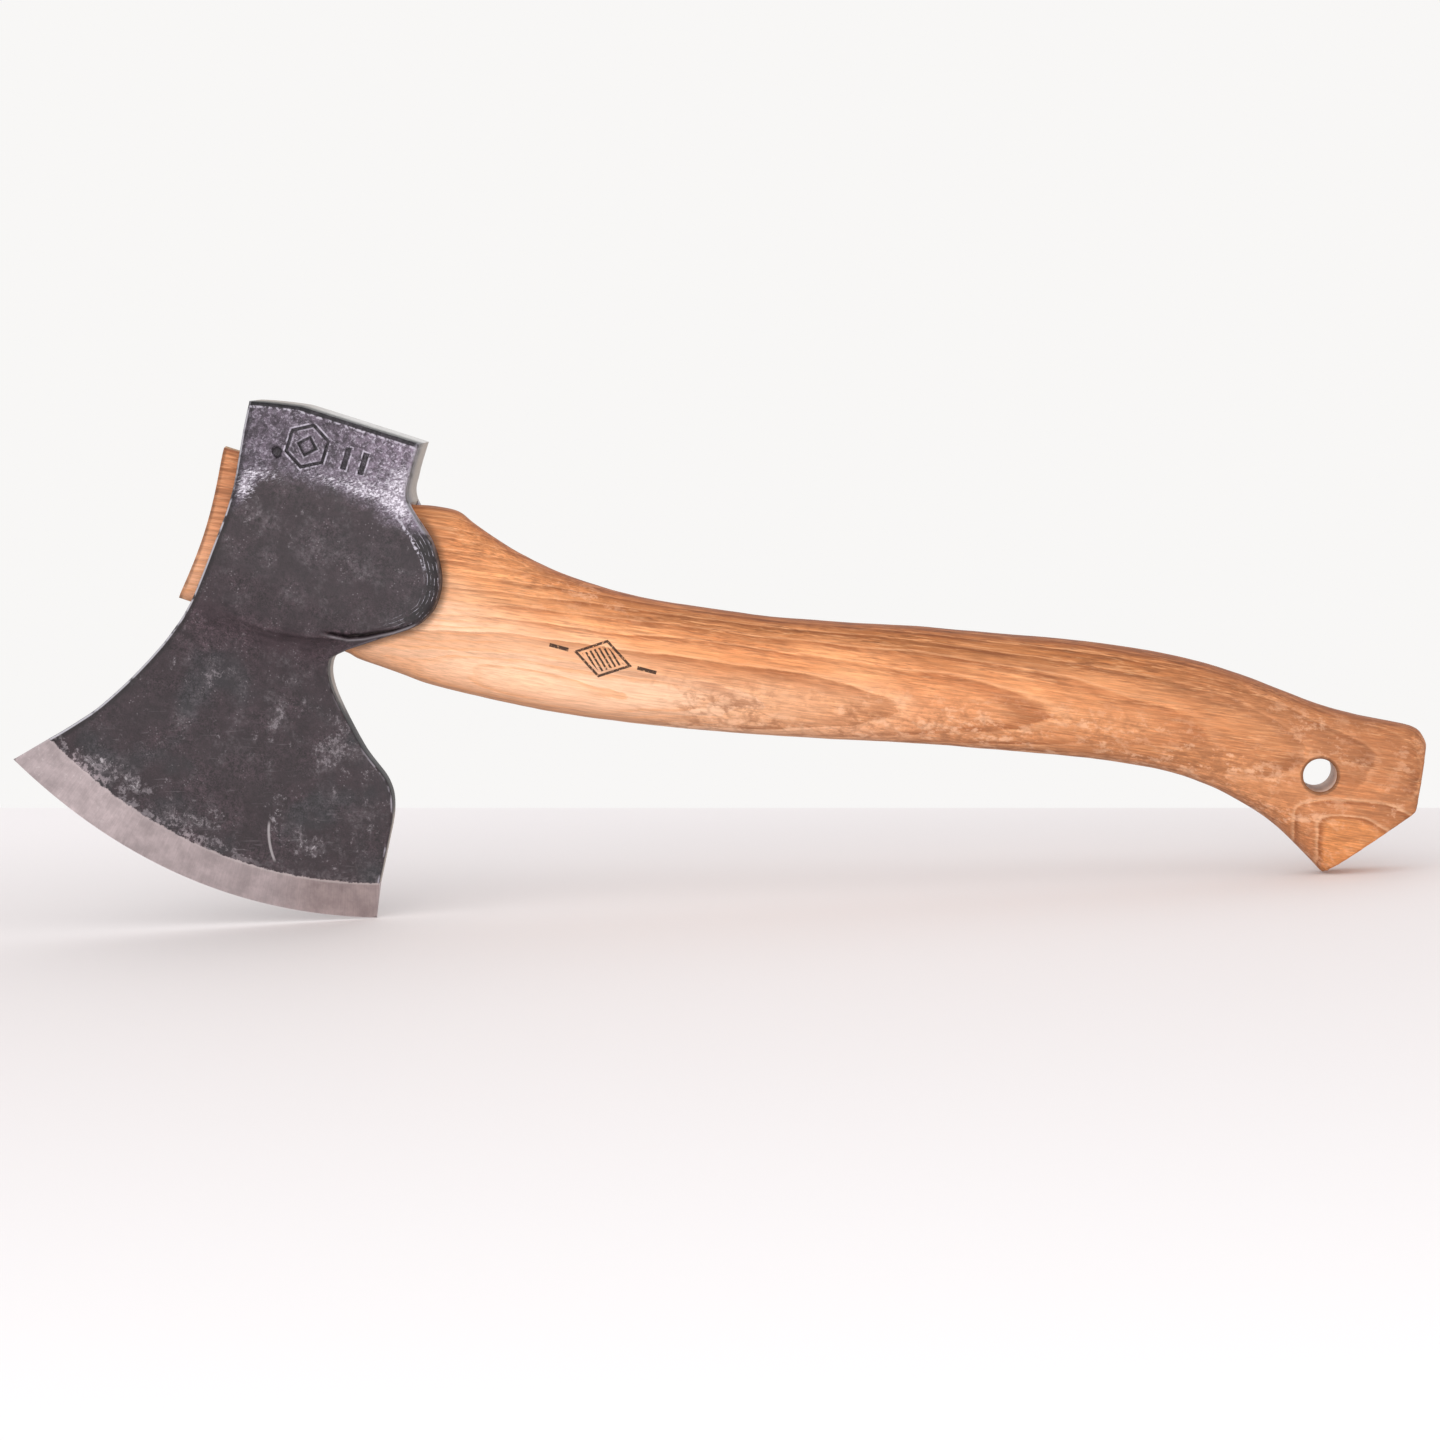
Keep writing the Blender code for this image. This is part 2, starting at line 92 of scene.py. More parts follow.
POLL_HAMMERED = -13  # above this the poll is marked by hammers
HAMMER_SIZES = (21, 6.5, 2.6)  # broad, fine and peened marks
BROAD_MARKS = 0.22  # how deep they go
FINE_MARKS = 0.07
POLL_PEENED = 0.07  # how much deeper on the poll
POLL_FINE = 0.10
NEAR_SEED = 3
FAR_SEED = 11
CHEEK_BULGE = 0.12
WELD = 0.002
EYE_CUTTER_REACH = 90
STAMP_SURFACE = -12.62
STAMP_DEPTH = 0.5
STAMP_CLEAR = 3  # how far the cutters start outside the surface
STAMP_CENTRE = (-6.4, -31)
STAMP_RADIUS = 6.2
STAMP_LINE = 1
LOZENGE_RADIUS = 2.6
NOTCHES = (5.2, 10.4)
NOTCH_HALF = (0.8, 3.2)
CREASE_DEPTH = 1.9
CREASE_CENTRE = 0.3  # how far below its line the groove is deepest
CREASE_WALLS = (0.8, 1.5)  # how wide it is above and below there
CREASE_RUN_IN = 0.30  # shares of its length over which it deepens and ends
CREASE_RUN_OUT = 0.25
CREASE_FADE = 3
SHADOW_WIDTH = (0.20, 0.66)  # of the dark line in it: at the ends, and what the middle adds
SHADOW_LEAN = 0.62
SHADOW_OFFSET = 0.15
LIP_OFFSET = 0.30
LIP_WIDTH = 0.27
CREASE = ((12.5, 18.6), (20.6, 17.5), (24.7, 15.9), (28.6, 13.9), (32.5, 11.9), (36, 9.5), (38.8, 7))

WORN = (
    # where the scale is rubbed thin: along, down, size along, size down, amount
    (25, 52, 6, 7.5, 1),
    (7.5, 50, 3.5, 6.5, 0.8),
    (-39, 75.5, 7, 2.8, 1),
    (-27, 78.5, 7, 3, 0.9),
    (-10, 83.5, 9, 3, 0.8),
    (27, 80.5, 6, 4, 1),
    (15, 73, 2.5, 9, 0.8),
    (40, 72, 4, 10, 0.5),
    (-2, 79, 3, 3, 0.7),
    (-15, -6, 9, 4, 0.7),
    (3, -4, 11, 5, 0.7),
    (24, -1, 9, 5, 0.6),
    (-14, 40, 9, 6, 0.5),
    (8, 34, 8, 7, 0.4),
)
FLARED = (
    # where the scale is brushed off between the poll and the cheeks
    (25, -23, 5.5, 5, 1),
    (14, -24, 8, 3, 0.65),
    (-20, -15, 3.2, 5.5, 0.9),
    (-14.5, -20, 5, 2.6, 0.55),
    (22, -31, 5, 5, 0.55),
    (0, -23.5, 12, 2.6, 0.5),
    (10, -30, 18, 4, 0.3),
)

# ---------------------------------------------------------------- shape of the handle, as in the solids

TENON_END = -38
HANDLE_STATIONS = (
    # where along the handle, its upper side, its lower side, half width, section exponent
    (TENON_END, -23.25, 23.25, 8.95, 2.6),
    (-13, -23.25, 23.25, 8.95, 2.6),
    (9, -23.25, 23.25, 8.95, 2.6),
    (20.4, -23.25, 23.25, 8.95, 2.6),
    (23, -23.25, 23.9, 8.95, 2.6),
    (26, -23.25, 24.1, 8.95, 2.6),
    (31, -24.6, 24.2, 8.95, 2.6),
    (38.9, -25.5, 24.5, 8.95, 2.6),
    (43.5, -23.8, 24.8, 9.1, 2.5),
    (51, -21.4, 24.6, 9.5, 2.4),
    (60, -19.2, 23.9, 10, 2.3),
    (71, -17.6, 22.8, 10.4, 2.3),
    (85, -17.1, 21.1, 10.6, 2.3),
    (100, -18.2, 18.6, 10.7, 2.3),
    (118, -21, 15, 10.8, 2.3),
    (136, -24.3, 10.9, 10.8, 2.3),
    (154, -28.5, 6.3, 10.9, 2.3),
    (174, -33.7, 1.1, 11, 2.3),
    (194, -38.3, -4, 11, 2.3),
    (214, -42.8, -8.5, 11, 2.3),
    (235, -46.6, -13.1, 11, 2.3),
    (253, -48.7, -15.8, 11, 2.3),
    (267, -48.8, -15.8, 10.9, 2.4),
    (279, -48.1, -13.9, 10.8, 2.4),
    (290, -47.4, -10.6, 10.6, 2.5),
    (300, -47.7, -5.6, 10.3, 2.6),
    (309, -48.6, -0.2, 10, 2.6),
    (317, -49.5, 5.2, 9.7, 2.6),
    (320.4, -48.9, 7.5, 9.5, 2.6),
    (323, -46.5, 9.2, 9.4, 2.6),
    (329, -40, 13, 9.2, 2.6),
)
HANDLE_STEP = 1.6
SECTION_POINTS = 96
KNOB_TOP = (323.5, -45)
KNOB_CORNER = (325.9, -27)
KNOB_TIP = (307.3, -2.7)
HANG_HOLE = (296.5, -28.8)
HANG_HOLE_RADIUS = 4.8
HANG_HOLE_FLARE = 0.5
HANG_HOLE_DEPTH = 10.35
END_CUTTER_REACH = 30
END_SEGMENTS = 400
HOLE_SEGMENTS = 72
TENON_HOLLOW_RADIUS = 105
TENON_HOLLOW_BOTTOM = -28
WEDGE_DEPTH = 36
WEDGE_HALF_THICK = 2.5
WEDGE_HALF_TIP = 0.5
WEDGE_GAP = 0.3
KERF_REACH = 60
STEEL_DEPTH = 20
STEEL_SPINE = 6
STEEL_HALF_THICK = 1
STEEL_LEGS = ((-6.6, -4), (-1.2, 1.2), (4, 6.6))
HANDLE_VOXEL = 0.75
GRIP_START = 44
GRIP_FADE = 10
CARVING_SEED = 31
CARVING = ((24, 0.16), (7, 0.05))  # size and depth of the unevenness
SOFTENING = 0.5
SOFTENING_ROUNDS = 5
CRACKLED = (
    # where the figure of the wood is broken up, as for WORN
    (77, -12, 15, 5, 1),
    (298, -40, 24, 6, 0.6),
    (317, -26, 8, 9, 0.55),
)

# ---------------------------------------------------------------- mesh tools


def at(along, side, down):
    """A point of the head's frame from distances in millimetres."""
    return Vector((along, side, -down)) * MM


def link(name, mesh):
    obj = bpy.data.objects.new(name, mesh)
    bpy.context.scene.collection.objects.link(obj)
    return obj


def from_bmesh(name, bm):
    mesh = bpy.data.meshes.new(name)
    bm.to_mesh(mesh)
    bm.free()
    return link(name, mesh)


def smooth_rows(rows, positions):
    """Rows of numbers at fractional positions in a list of rows, on a smooth curve through them."""
    table = np.asarray(rows, float)
    where = np.asarray(positions, float)
    i = np.minimum(where.astype(int), len(table) - 2)
    f = (where - i)[:, None]
    last = len(table) - 1
    before, here, after, beyond = (table[np.clip(i + k, 0, last)] for k in (-1, 0, 1, 2))
    slope_in = (after - before) / 2
    slope_out = (beyond - here) / 2
    f2, f3 = f * f, f * f * f
    return (
        (2 * f3 - 3 * f2 + 1) * here
        + (f3 - 2 * f2 + f) * slope_in
        + (3 * f2 - 2 * f3) * after
        + (f3 - f2) * slope_out
    )


def fillet(distance, radius):
    """How far a rounded edge has dropped at a distance in from the edge."""
    inside = np.clip(radius - distance, 0, radius)
    return np.where(radius > 0, radius - np.sqrt(np.maximum(radius**2 - inside**2, 0)), 0)


def distances(points, line):
    """For (along, down) points: distance to a polyline, side of it, and how far along it they lie."""
    line = np.asarray(line, float)
    start, step = line[:-1], np.diff(line, axis=0)
    lengths = np.linalg.norm(step, axis=1)
    runs = np.concatenate(([0], np.cumsum(lengths)[:-1]))
    best = np.full(len(points), np.inf)
    side = np.zeros(len(points))
    run = np.zeros(len(points))
    for p, d, length, r in zip(start, step, lengths, runs):
        rel = points - p
        f = np.clip(rel @ d / length**2, 0, 1)
        gap = np.linalg.norm(rel - f[:, None] * d, axis=1)
        near = gap < best
        best[near] = gap[near]
        side[near] = np.sign(d[0] * rel[near, 1] - d[1] * rel[near, 0])
        run[near] = r + f[near] * length
    return best, side, run


def past(points, line):
    """Distance from each point to a line, counted as negative on the line's upper side."""
    gap, side, _ = distances(points, line)
    return np.where(side > 0, gap, -gap)


def coordinates(mesh):
    co = np.empty(len(mesh.vertices) * 3)
    mesh.vertices.foreach_get("co", co)
    return co.reshape(-1, 3)


def set_coordinates(mesh, co):
    mesh.vertices.foreach_set("co", np.ascontiguousarray(co, np.float32).ravel())
    mesh.update()


def normals(mesh):
    out = np.empty(len(mesh.vertices) * 3)
    mesh.vertices.foreach_get("normal", out)
    return out.reshape(-1, 3)


def seen_from_side(co):
    """(along, down) of points."""
    return np.column_stack((co[:, 0], -co[:, 2]))


def store(mesh, places):
    """Keeps numbers or vectors at each point of the mesh, by name, for the material to read."""
    for name, values in places.items():
        values = np.ascontiguousarray(values, np.float32)
        kind, key = ("FLOAT", "value") if values.ndim == 1 else ("FLOAT_VECTOR", "vector")
        attribute = mesh.attributes.new(name, kind, "POINT")
        attribute.data.foreach_set(key, values.ravel())


def dabs(plan, places):
    """A soft spot at each (along, down, size along, size down, amount), added up."""
    spots = [w * np.exp(-(((plan - (a, d)) / (ra, rd)) ** 2).sum(axis=1)) for a, d, ra, rd, w in places]
    return sum(spots)


def noise_at(co, size, seed, octaves=2):
    """Smooth noise, about -1 to 1, with features of a size in millimetres."""
    shift = Vector((seed * 17.3, seed * 5.1, seed * 9.7))
    scaled = co / (MM * size)
    out = [noise.fractal(Vector(p) + shift, 0.6, 2, octaves, noise_basis="PERLIN_ORIGINAL") for p in scaled]
    return np.array(out)


def applied(obj):
    """The object with its modifiers applied."""
    graph = bpy.context.evaluated_depsgraph_get()
    mesh = bpy.data.meshes.new_from_object(obj.evaluated_get(graph), depsgraph=graph)
    old = obj.data
    obj.modifiers.clear()
    obj.data = mesh
    bpy.data.meshes.remove(old)
    return obj


def cut(obj, cutters):
    """Takes cutters away from an object, and removes them."""
    for cutter in cutters:
        modifier = obj.modifiers.new(cutter.name, "BOOLEAN")
        modifier.operation = "DIFFERENCE"
        modifier.solver = "EXACT"
        modifier.object = cutter
    applied(obj)
    for cutter in cutters:
        bpy.data.objects.remove(cutter)
    return obj


def oval(half_width, upper, lower, exponent, count):
    """(side, down) points of a superellipse."""
    angle = 2 * np.pi * np.arange(count) / count
    c, s = np.cos(angle), np.sin(angle)
    side = half_width * np.copysign(np.abs(c) ** (2 / exponent), c)
    half = (lower - upper) / 2
    return np.column_stack((side, (upper + lower) / 2 - half * np.copysign(np.abs(s) ** (2 / exponent), s)))


def skin(bm, near, far):
    """A band of faces between two rings of points."""
    for k in range(len(near)):
        n = (k + 1) % len(near)
        bm.faces.new((near[k], near[n], far[n], far[k]))


def solid(name, bm):
    bmesh.ops.recalc_face_normals(bm, faces=bm.faces)
    return from_bmesh(name, bm)


def loft(name, rings):
    """A closed solid through rings of (along, side, down) points."""
    bm = bmesh.new()
    rings = [[bm.verts.new(at(*point)) for point in ring] for ring in rings]
    for near, far in zip(rings, rings[1:]):
        skin(bm, near, far)
    bm.faces.new(reversed(rings[0]))
    bm.faces.new(rings[-1])
    return solid(name, bm)


def across_handle(along, ring):
    """A ring of (side, down) points at a place along the handle."""
    return [(along, side, down) for side, down in ring]


def turned_body(name, along, down, profile, segments):
    """A turned body across the tool, through (side, radius) pairs."""
    angle = 2 * np.pi * np.arange(segments) / segments
    rings = []
    for side, radius in profile:
        ring = zip(along + radius * np.cos(angle), down + radius * np.sin(angle))
        rings.append([(a, side, d) for a, d in ring])
    return loft(name, rings)


def prism(name, outline, low, high, axis):
    """A straight solid: an outline of (a, b) millimetres, extruded from low to high along Y or Z."""
    place = {"Y": lambda a, b, c: at(a, c, b), "Z": lambda a, b, c: at(a, b, c)}[axis]
    bm = bmesh.new()
    face = bm.faces.new([bm.verts.new(place(a, b, low)) for a, b in outline])
    moved = bmesh.ops.extrude_face_region(bm, geom=[face])["geom"]
    shift = place(0, 0, high) - place(0, 0, low)
    bmesh.ops.translate(bm, verts=[v for v in moved if isinstance(v, bmesh.types.BMVert)], vec=shift)
    return solid(name, bm)


# ---------------------------------------------------------------- the head


def head_rows():
    """Outline, bow, thickness and rounding row by row from the poll to the edge, and the poll's rounding."""
    stations = [(*left, *right, bow, *half, *rounding) for left, right, bow, half, rounding in HEAD_STATIONS]
    poll_rounding = HEAD_STATIONS[0][4][0]
    first_gap = HEAD_STATIONS[1][0][1] - HEAD_STATIONS[0][0][1]
    steps = np.array(ROUNDING_STEPS)
    count = (len(stations) - 1) * ROWS_PER_STATION
    later = np.arange(2, count + 1) / ROWS_PER_STATION
    positions = np.concatenate((steps * poll_rounding / first_gap, later))
    drops = fillet(np.concatenate((steps * poll_rounding, np.full(count - 1, poll_rounding))), poll_rounding)
    rows = smooth_rows(stations, positions)
    edge = np.array([*EDGE_TOE, *EDGE_HEEL, EDGE_BOW, 0, 0, 0, 0])
    shares = (np.arange(1, BEVEL_ROWS + 1) / BEVEL_ROWS)[:, None]
    rows = np.concatenate((rows, rows[-1] + (edge - rows[-1]) * shares))
    return rows, np.concatenate((drops, np.zeros(BEVEL_ROWS)))


def head_grid():
    """(along, side, down) points of the near half of the head, row by row from the poll to the edge."""
    steps = np.array(ROUNDING_STEPS)
    grid = []
    for row, top_drop in zip(*head_rows()):
        left, right = row[0:2], row[2:4]
        bow, half_left, half_right, round_left, round_right = row[4:]
        width = np.linalg.norm(right - left)
        start, stop = round_left / width, 1 - round_right / width
        inner = start + (stop - start) * np.arange(1, INNER_COLUMNS) / INNER_COLUMNS
        share = np.concatenate((steps * start, inner, 1 - steps[::-1] * (1 - stop)))
        place = left + (right - left) * share[:, None]
        place[:, 1] += bow * 4 * share * (1 - share)
        half = np.minimum(half_left + (half_right - half_left) * share, CHEEK)
        drop = np.maximum(fillet(share * width, round_left), fillet((1 - share) * width, round_right))
        half = half - np.maximum(drop, top_drop)
        points = np.column_stack((place[:, 0], -half, np.maximum(place[:, 1], POLL_FACE)))
        ends = points[[0, -1]] * (1, 0, 1)
        grid.append(np.concatenate((ends[:1], points, ends[1:])))
    grid.insert(0, grid[0] * (1, 0, 1))
    return np.array(grid)


def outlines(grid):
    """The head's left and right outlines, the top of the ground bevel, and the cutting edge."""
    plan = grid[:, :, [0, 2]]
    left, right = plan[::2, 1], plan[::2, -2]
    bevel_top, edge = plan[-1 - BEVEL_ROWS, 1:-1:2], plan[-1, 1:-1:2]
    return left, right, bevel_top, edge


def crease_places(plan):
    """How far below the crease each point lies and how far along it, and the crease's length."""
    gap, side, run = distances(plan, CREASE)
    length = sum(math.dist(a, b) for a, b in zip(CREASE, CREASE[1:]))
    return gap * side, run, length


def forge_surface(grid, lines, seed):
    """Moves the points of one side in or out as the hammer and the grinder left them."""
    left, right, bevel_top, _ = lines
    flat = grid.reshape(-1, 3)
    plan = flat[:, [0, 2]]
    down = plan[:, 1]
    to_outline = np.minimum(distances(plan, left)[0], distances(plan, right)[0])
    calm = np.clip(to_outline / OUTLINE_CALM, 0, 1)
    calm = calm * np.clip(-past(plan, bevel_top) / BEVEL_CALM, 0, 1)
    calm = calm * np.clip((down - POLL_FACE) / POLL_CALM, 0, 1)
    co = np.column_stack((flat[:, 0], flat[:, 1], -down)) * MM
    broad, fine, peen = (noise_at(co, size, seed + k) for k, size in enumerate(HAMMER_SIZES))
    poll = np.clip((POLL_HAMMERED - down) / 9, 0, 1)
    move = BROAD_MARKS * broad + FINE_MARKS * fine + POLL_PEENED * poll * peen + POLL_FINE * poll * fine
    move = calm * move
    # the groove that the fuller leaves under the lug, deepest in its middle and gone at both ends
    below, run, length = crease_places(plan)
    share = run / length
    depth = CREASE_DEPTH * np.clip(share / CREASE_RUN_IN, 0, 1)
    depth = depth * np.clip((1 - share) / CREASE_RUN_OUT, 0, 1)
    wall = np.where(below < CREASE_CENTRE, *CREASE_WALLS)
    move -= depth * np.exp(-((below - CREASE_CENTRE) / wall) ** 2)
    out = flat.copy()
    out[:, 1] -= move * (flat[:, 1] < -0.5)
    out[:, 1] = np.maximum(out[:, 1], -CHEEK - CHEEK_BULGE)
    return out.reshape(grid.shape)


def grid_faces(rows, columns, offset, flip):
    index = np.arange(rows * columns).reshape(rows, columns) + offset
    quads = np.stack((index[:-1, :-1], index[1:, :-1], index[1:, 1:], index[:-1, 1:]), axis=-1).reshape(-1, 4)
    return quads[:, ::-1] if flip else quads


def head_skin(grid, lines):
    """The outside of the head: two forged halves, welded along the outline."""
    near = forge_surface(grid, lines, NEAR_SEED)
    far = forge_surface(grid, lines, FAR_SEED) * (1, -1, 1)
    rows, columns = grid.shape[:2]
    points = np.concatenate((near.reshape(-1, 3), far.reshape(-1, 3)))
    points = np.column_stack((points[:, 0], points[:, 1], -points[:, 2])) * MM
    sides = grid_faces(rows, columns, 0, False), grid_faces(rows, columns, rows * columns, True)
    mesh = bpy.data.meshes.new("forged_head")
    mesh.from_pydata(points.tolist(), [], np.concatenate(sides).tolist())
    bm = bmesh.new()
    bm.from_mesh(mesh)
    bmesh.ops.remove_doubles(bm, verts=bm.verts, dist=WELD * MM)
    bmesh.ops.dissolve_degenerate(bm, edges=bm.edges, dist=WELD * MM / 4)
    bmesh.ops.recalc_face_normals(bm, faces=bm.faces)
    bm.to_mesh(mesh)
    bm.free()
    return link("forged_head", mesh)


def struck_ring(name, radius, sides, turn):
    """The cutter for a struck outline with straight sides, round the middle of the stamp."""
    low, high = STAMP_SURFACE - STAMP_CLEAR, STAMP_SURFACE + STAMP_DEPTH
    angles = [turn + 2 * math.pi * k / sides for k in range(sides)]
    bm = bmesh.new()
    loops = []
    for r in (radius + STAMP_LINE / 2, radius - STAMP_LINE / 2):
        plan = [(STAMP_CENTRE[0] + r * math.cos(a), STAMP_CENTRE[1] + r * math.sin(a)) for a in angles]
        loops += [[bm.verts.new(at(along, side, down)) for along, down in plan] for side in (low, high)]
    outer_out, outer_in, inner_out, inner_in = loops
    skin(bm, outer_out, outer_in)
    skin(bm, outer_in, inner_in)
    skin(bm, inner_in, inner_out)
    skin(bm, inner_out, outer_out)
    return solid(name, bm)


def stamp_cutters():
    """Struck marks on the near side of the poll: a hexagon with a lozenge in it, and two notches beside."""
    cutters = [
        struck_ring("stamp_hexagon", STAMP_RADIUS, 6, math.radians(30)),
        struck_ring("stamp_lozenge", LOZENGE_RADIUS, 4, 0),
    ]
    low, high = STAMP_CENTRE[1] - NOTCH_HALF[1], STAMP_CENTRE[1] + NOTCH_HALF[1]
    for k, along in enumerate(NOTCHES):
        near, far = along - NOTCH_HALF[0], along + NOTCH_HALF[0]
        outline = [(near, low), (far, low), (far, high), (near, high)]
        depths = STAMP_SURFACE - STAMP_CLEAR, STAMP_SURFACE + STAMP_DEPTH
        cutters.append(prism(f"stamp_notch_{k}", outline, *depths, "Y"))
    return cutters


def store_head(mesh, grid, lines):
    """What the head's material reads at each point. Distances are in millimetres, seen from the side."""
    left, right, bevel_top, edge = lines
    co = coordinates(mesh) / MM
    plan = seen_from_side(co)
    _, across, upwards = normals(mesh).T
    below, run, length = crease_places(plan)
    ends = np.clip(run / CREASE_FADE, 0, 1) * np.clip((length - run) / CREASE_FADE, 0, 1)
    swell = np.sin(np.pi * np.clip(run / length, 0, 1) ** SHADOW_LEAN) ** 2
    reach = SHADOW_WIDTH[0] + SHADOW_WIDTH[1] * swell
    store(mesh, {
        "design": co,
        "from_left": distances(plan, left)[0],
        "from_right": distances(plan, right)[0],
        "ground": past(plan, bevel_top),
        "edge_run": distances(plan, edge)[2],
        # crease is where the groove's painted shadow lies, and lip where the painted highlight below it lies.
        "crease": ends * np.exp(-(((below + SHADOW_OFFSET) / reach) ** 4)),
        "lip": ends * np.exp(-(((below - LIP_OFFSET - reach) / LIP_WIDTH) ** 2)),
        "worn": dabs(plan, WORN),
        "flared": dabs(plan, FLARED),
        "from_poll": distances(plan, grid[1][:, [0, 2]])[0],
        "sunk": np.abs(co[:, 1] - STAMP_SURFACE - STAMP_DEPTH) < WELD,
        "facing_up": upwards,
        "flank": 1 - np.clip((np.abs(across) - 0.3) / 0.4, 0, 1),
    })


def make_head():
    grid = head_grid()
    lines = outlines(grid)
    head = head_skin(grid, lines)
    ring = oval(EYE_HALF_WIDTH, -EYE_HALF_HEIGHT, EYE_HALF_HEIGHT, ROUNDNESS, SECTION_POINTS)
    cutters = [
        loft("eye_cutter", [across_handle(along, ring) for along in (-EYE_CUTTER_REACH, EYE_CUTTER_REACH)]),
        prism("slot_cutter", LUG_SLOT, -EYE_HALF_WIDTH, EYE_HALF_WIDTH, "Y"),
    ]
    cut(head, cutters + stamp_cutters())
    store_head(head.data, grid, lines)
    return head


# ---------------------------------------------------------------- the handle


def trim(obj, start, end):
    """Saws off what lies beyond the straight line between two (along, down) points."""
    place = at(start[0], 0, start[1])
    normal = Vector((start[1] - end[1], 0, start[0] - end[0])).normalized()
    bm = bmesh.new()
    bm.from_mesh(obj.data)
    geom = [*bm.verts, *bm.edges, *bm.faces]
    sawn = bmesh.ops.bisect_plane(bm, geom=geom, plane_co=place, plane_no=normal, clear_outer=True)
    edges = [e for e in sawn["geom_cut"] if isinstance(e, bmesh.types.BMEdge)]
    bmesh.ops.contextual_create(bm, geom=edges)
    bmesh.ops.recalc_face_normals(bm, faces=bm.faces)
    bm.to_mesh(obj.data)
    bm.free()


def handle_row(along):
    """Place, upper side, lower side, half width and exponent at places along the handle."""
    stations = np.array(HANDLE_STATIONS)
    position = np.interp(along, stations[:, 0], np.arange(len(stations)))
    return smooth_rows(stations, position)


def handle_blank():
    """The handle's outside with a short knob end, evenly meshed and softened."""
    rows = handle_row(np.arange(TENON_END, HANDLE_STATIONS[-1][0], HANDLE_STEP))
    rings = [
        across_handle(along, oval(half_width, upper, lower, exponent, SECTION_POINTS))
        for along, upper, lower, half_width, exponent in rows
    ]
    handle = loft("carved_handle", rings)
    trim(handle, KNOB_TIP, KNOB_CORNER)
    trim(handle, KNOB_CORNER, KNOB_TOP)
    remesh = handle.modifiers.new("even_mesh", "REMESH")
    remesh.mode = "VOXEL"
    remesh.voxel_size = HANDLE_VOXEL * MM
    soften = handle.modifiers.new("soften", "SMOOTH")
    soften.factor = SOFTENING
    soften.iterations = SOFTENING_ROUNDS
    return applied(handle)


def carve(mesh):
    """Moves the grip's surface in or out as the knife left it, and leaves the tenon alone."""
    co = coordinates(mesh)
    grip = np.clip((co[:, 0] / MM - GRIP_START) / GRIP_FADE, 0, 1)
    cuts = [depth * noise_at(co, size, CARVING_SEED + k) for k, (size, depth) in enumerate(CARVING)]
    move = grip * sum(cuts)
    set_coordinates(mesh, co + normals(mesh) * (move * MM)[:, None])


def kerf_cutter():
    """The slot for the wooden wedge, in the middle of the tenon."""
    mouth = TENON_END - 1
    tip = TENON_HOLLOW_BOTTOM + WEDGE_DEPTH + WEDGE_GAP
    taper = (WEDGE_HALF_THICK - WEDGE_HALF_TIP) / WEDGE_DEPTH
    thick = WEDGE_HALF_THICK + taper * (TENON_HOLLOW_BOTTOM - TENON_END) + WEDGE_GAP
    thin = WEDGE_HALF_TIP + WEDGE_GAP
    outline = [(mouth, -thick), (tip, -thin), (tip, thin), (mouth, thick)]
    return prism("kerf_cutter", outline, -KERF_REACH, KERF_REACH, "Z")


def steel_slot(grow):
    """The cutter for the steel wedge: a thin plate with three legs."""
    end = TENON_END
    spine = TENON_HOLLOW_BOTTOM + STEEL_SPINE + grow
    tip = TENON_HOLLOW_BOTTOM + STEEL_DEPTH + grow
    outline = [(end, STEEL_LEGS[0][0] - grow)]
    for k, (first, last) in enumerate(STEEL_LEGS):
        if k:
            outline.append((spine, first - grow))
        outline += [(tip, first - grow), (tip, last + grow)]
        if k < len(STEEL_LEGS) - 1:
            outline.append((spine, last + grow))
    outline.append((end, STEEL_LEGS[-1][1] + grow))
    return prism("steel_slot", outline, -STEEL_HALF_THICK - grow, STEEL_HALF_THICK + grow, "Z")


def end_cutter():
    """What hollows the end of the tenon."""
    profile = [(side, TENON_HOLLOW_RADIUS) for side in (-END_CUTTER_REACH, END_CUTTER_REACH)]
    return turned_body("end_cutter", TENON_HOLLOW_BOTTOM - TENON_HOLLOW_RADIUS, 0, profile, END_SEGMENTS)


def hole_cutter():
    """The hanging hole, with a mouth that widens at 45 degrees on both sides."""
    mouth = HANG_HOLE_DEPTH - HANG_HOLE_FLARE
    flare = ((mouth, HANG_HOLE_RADIUS), (mouth + 10, HANG_HOLE_RADIUS + 10))
    profile = (*((-side, radius) for side, radius in reversed(flare)), *flare)
    return turned_body("hole_cutter", *HANG_HOLE, profile, HOLE_SEGMENTS)


def store_handle(mesh):
    """What the handle's material reads at each point. "across" goes from 0 at the top to 1 underneath."""
    co = coordinates(mesh) / MM
    plan = seen_from_side(co)
    row = handle_row(np.clip(co[:, 0], TENON_END, HANDLE_STATIONS[-1][0]))
    head_outline = outlines(head_grid())[1]
    store(mesh, {
        "design": co,
        "across": (plan[:, 1] - row[:, 1]) / (row[:, 2] - row[:, 1]),
        "from_head": distances(plan, head_outline)[0],
        "crackled": dabs(plan, CRACKLED),
        "facing_up": normals(mesh)[:, 2],
    })


def make_handle():
    handle = handle_blank()
    carve(handle.data)
    cut(handle, [end_cutter(), kerf_cutter(), steel_slot(WEDGE_GAP), hole_cutter()])
    store_handle(handle.data)
    return handle


# ---------------------------------------------------------------- materials
# In the functions that paint a material, g is its graph, and s holds the values that several of them use.


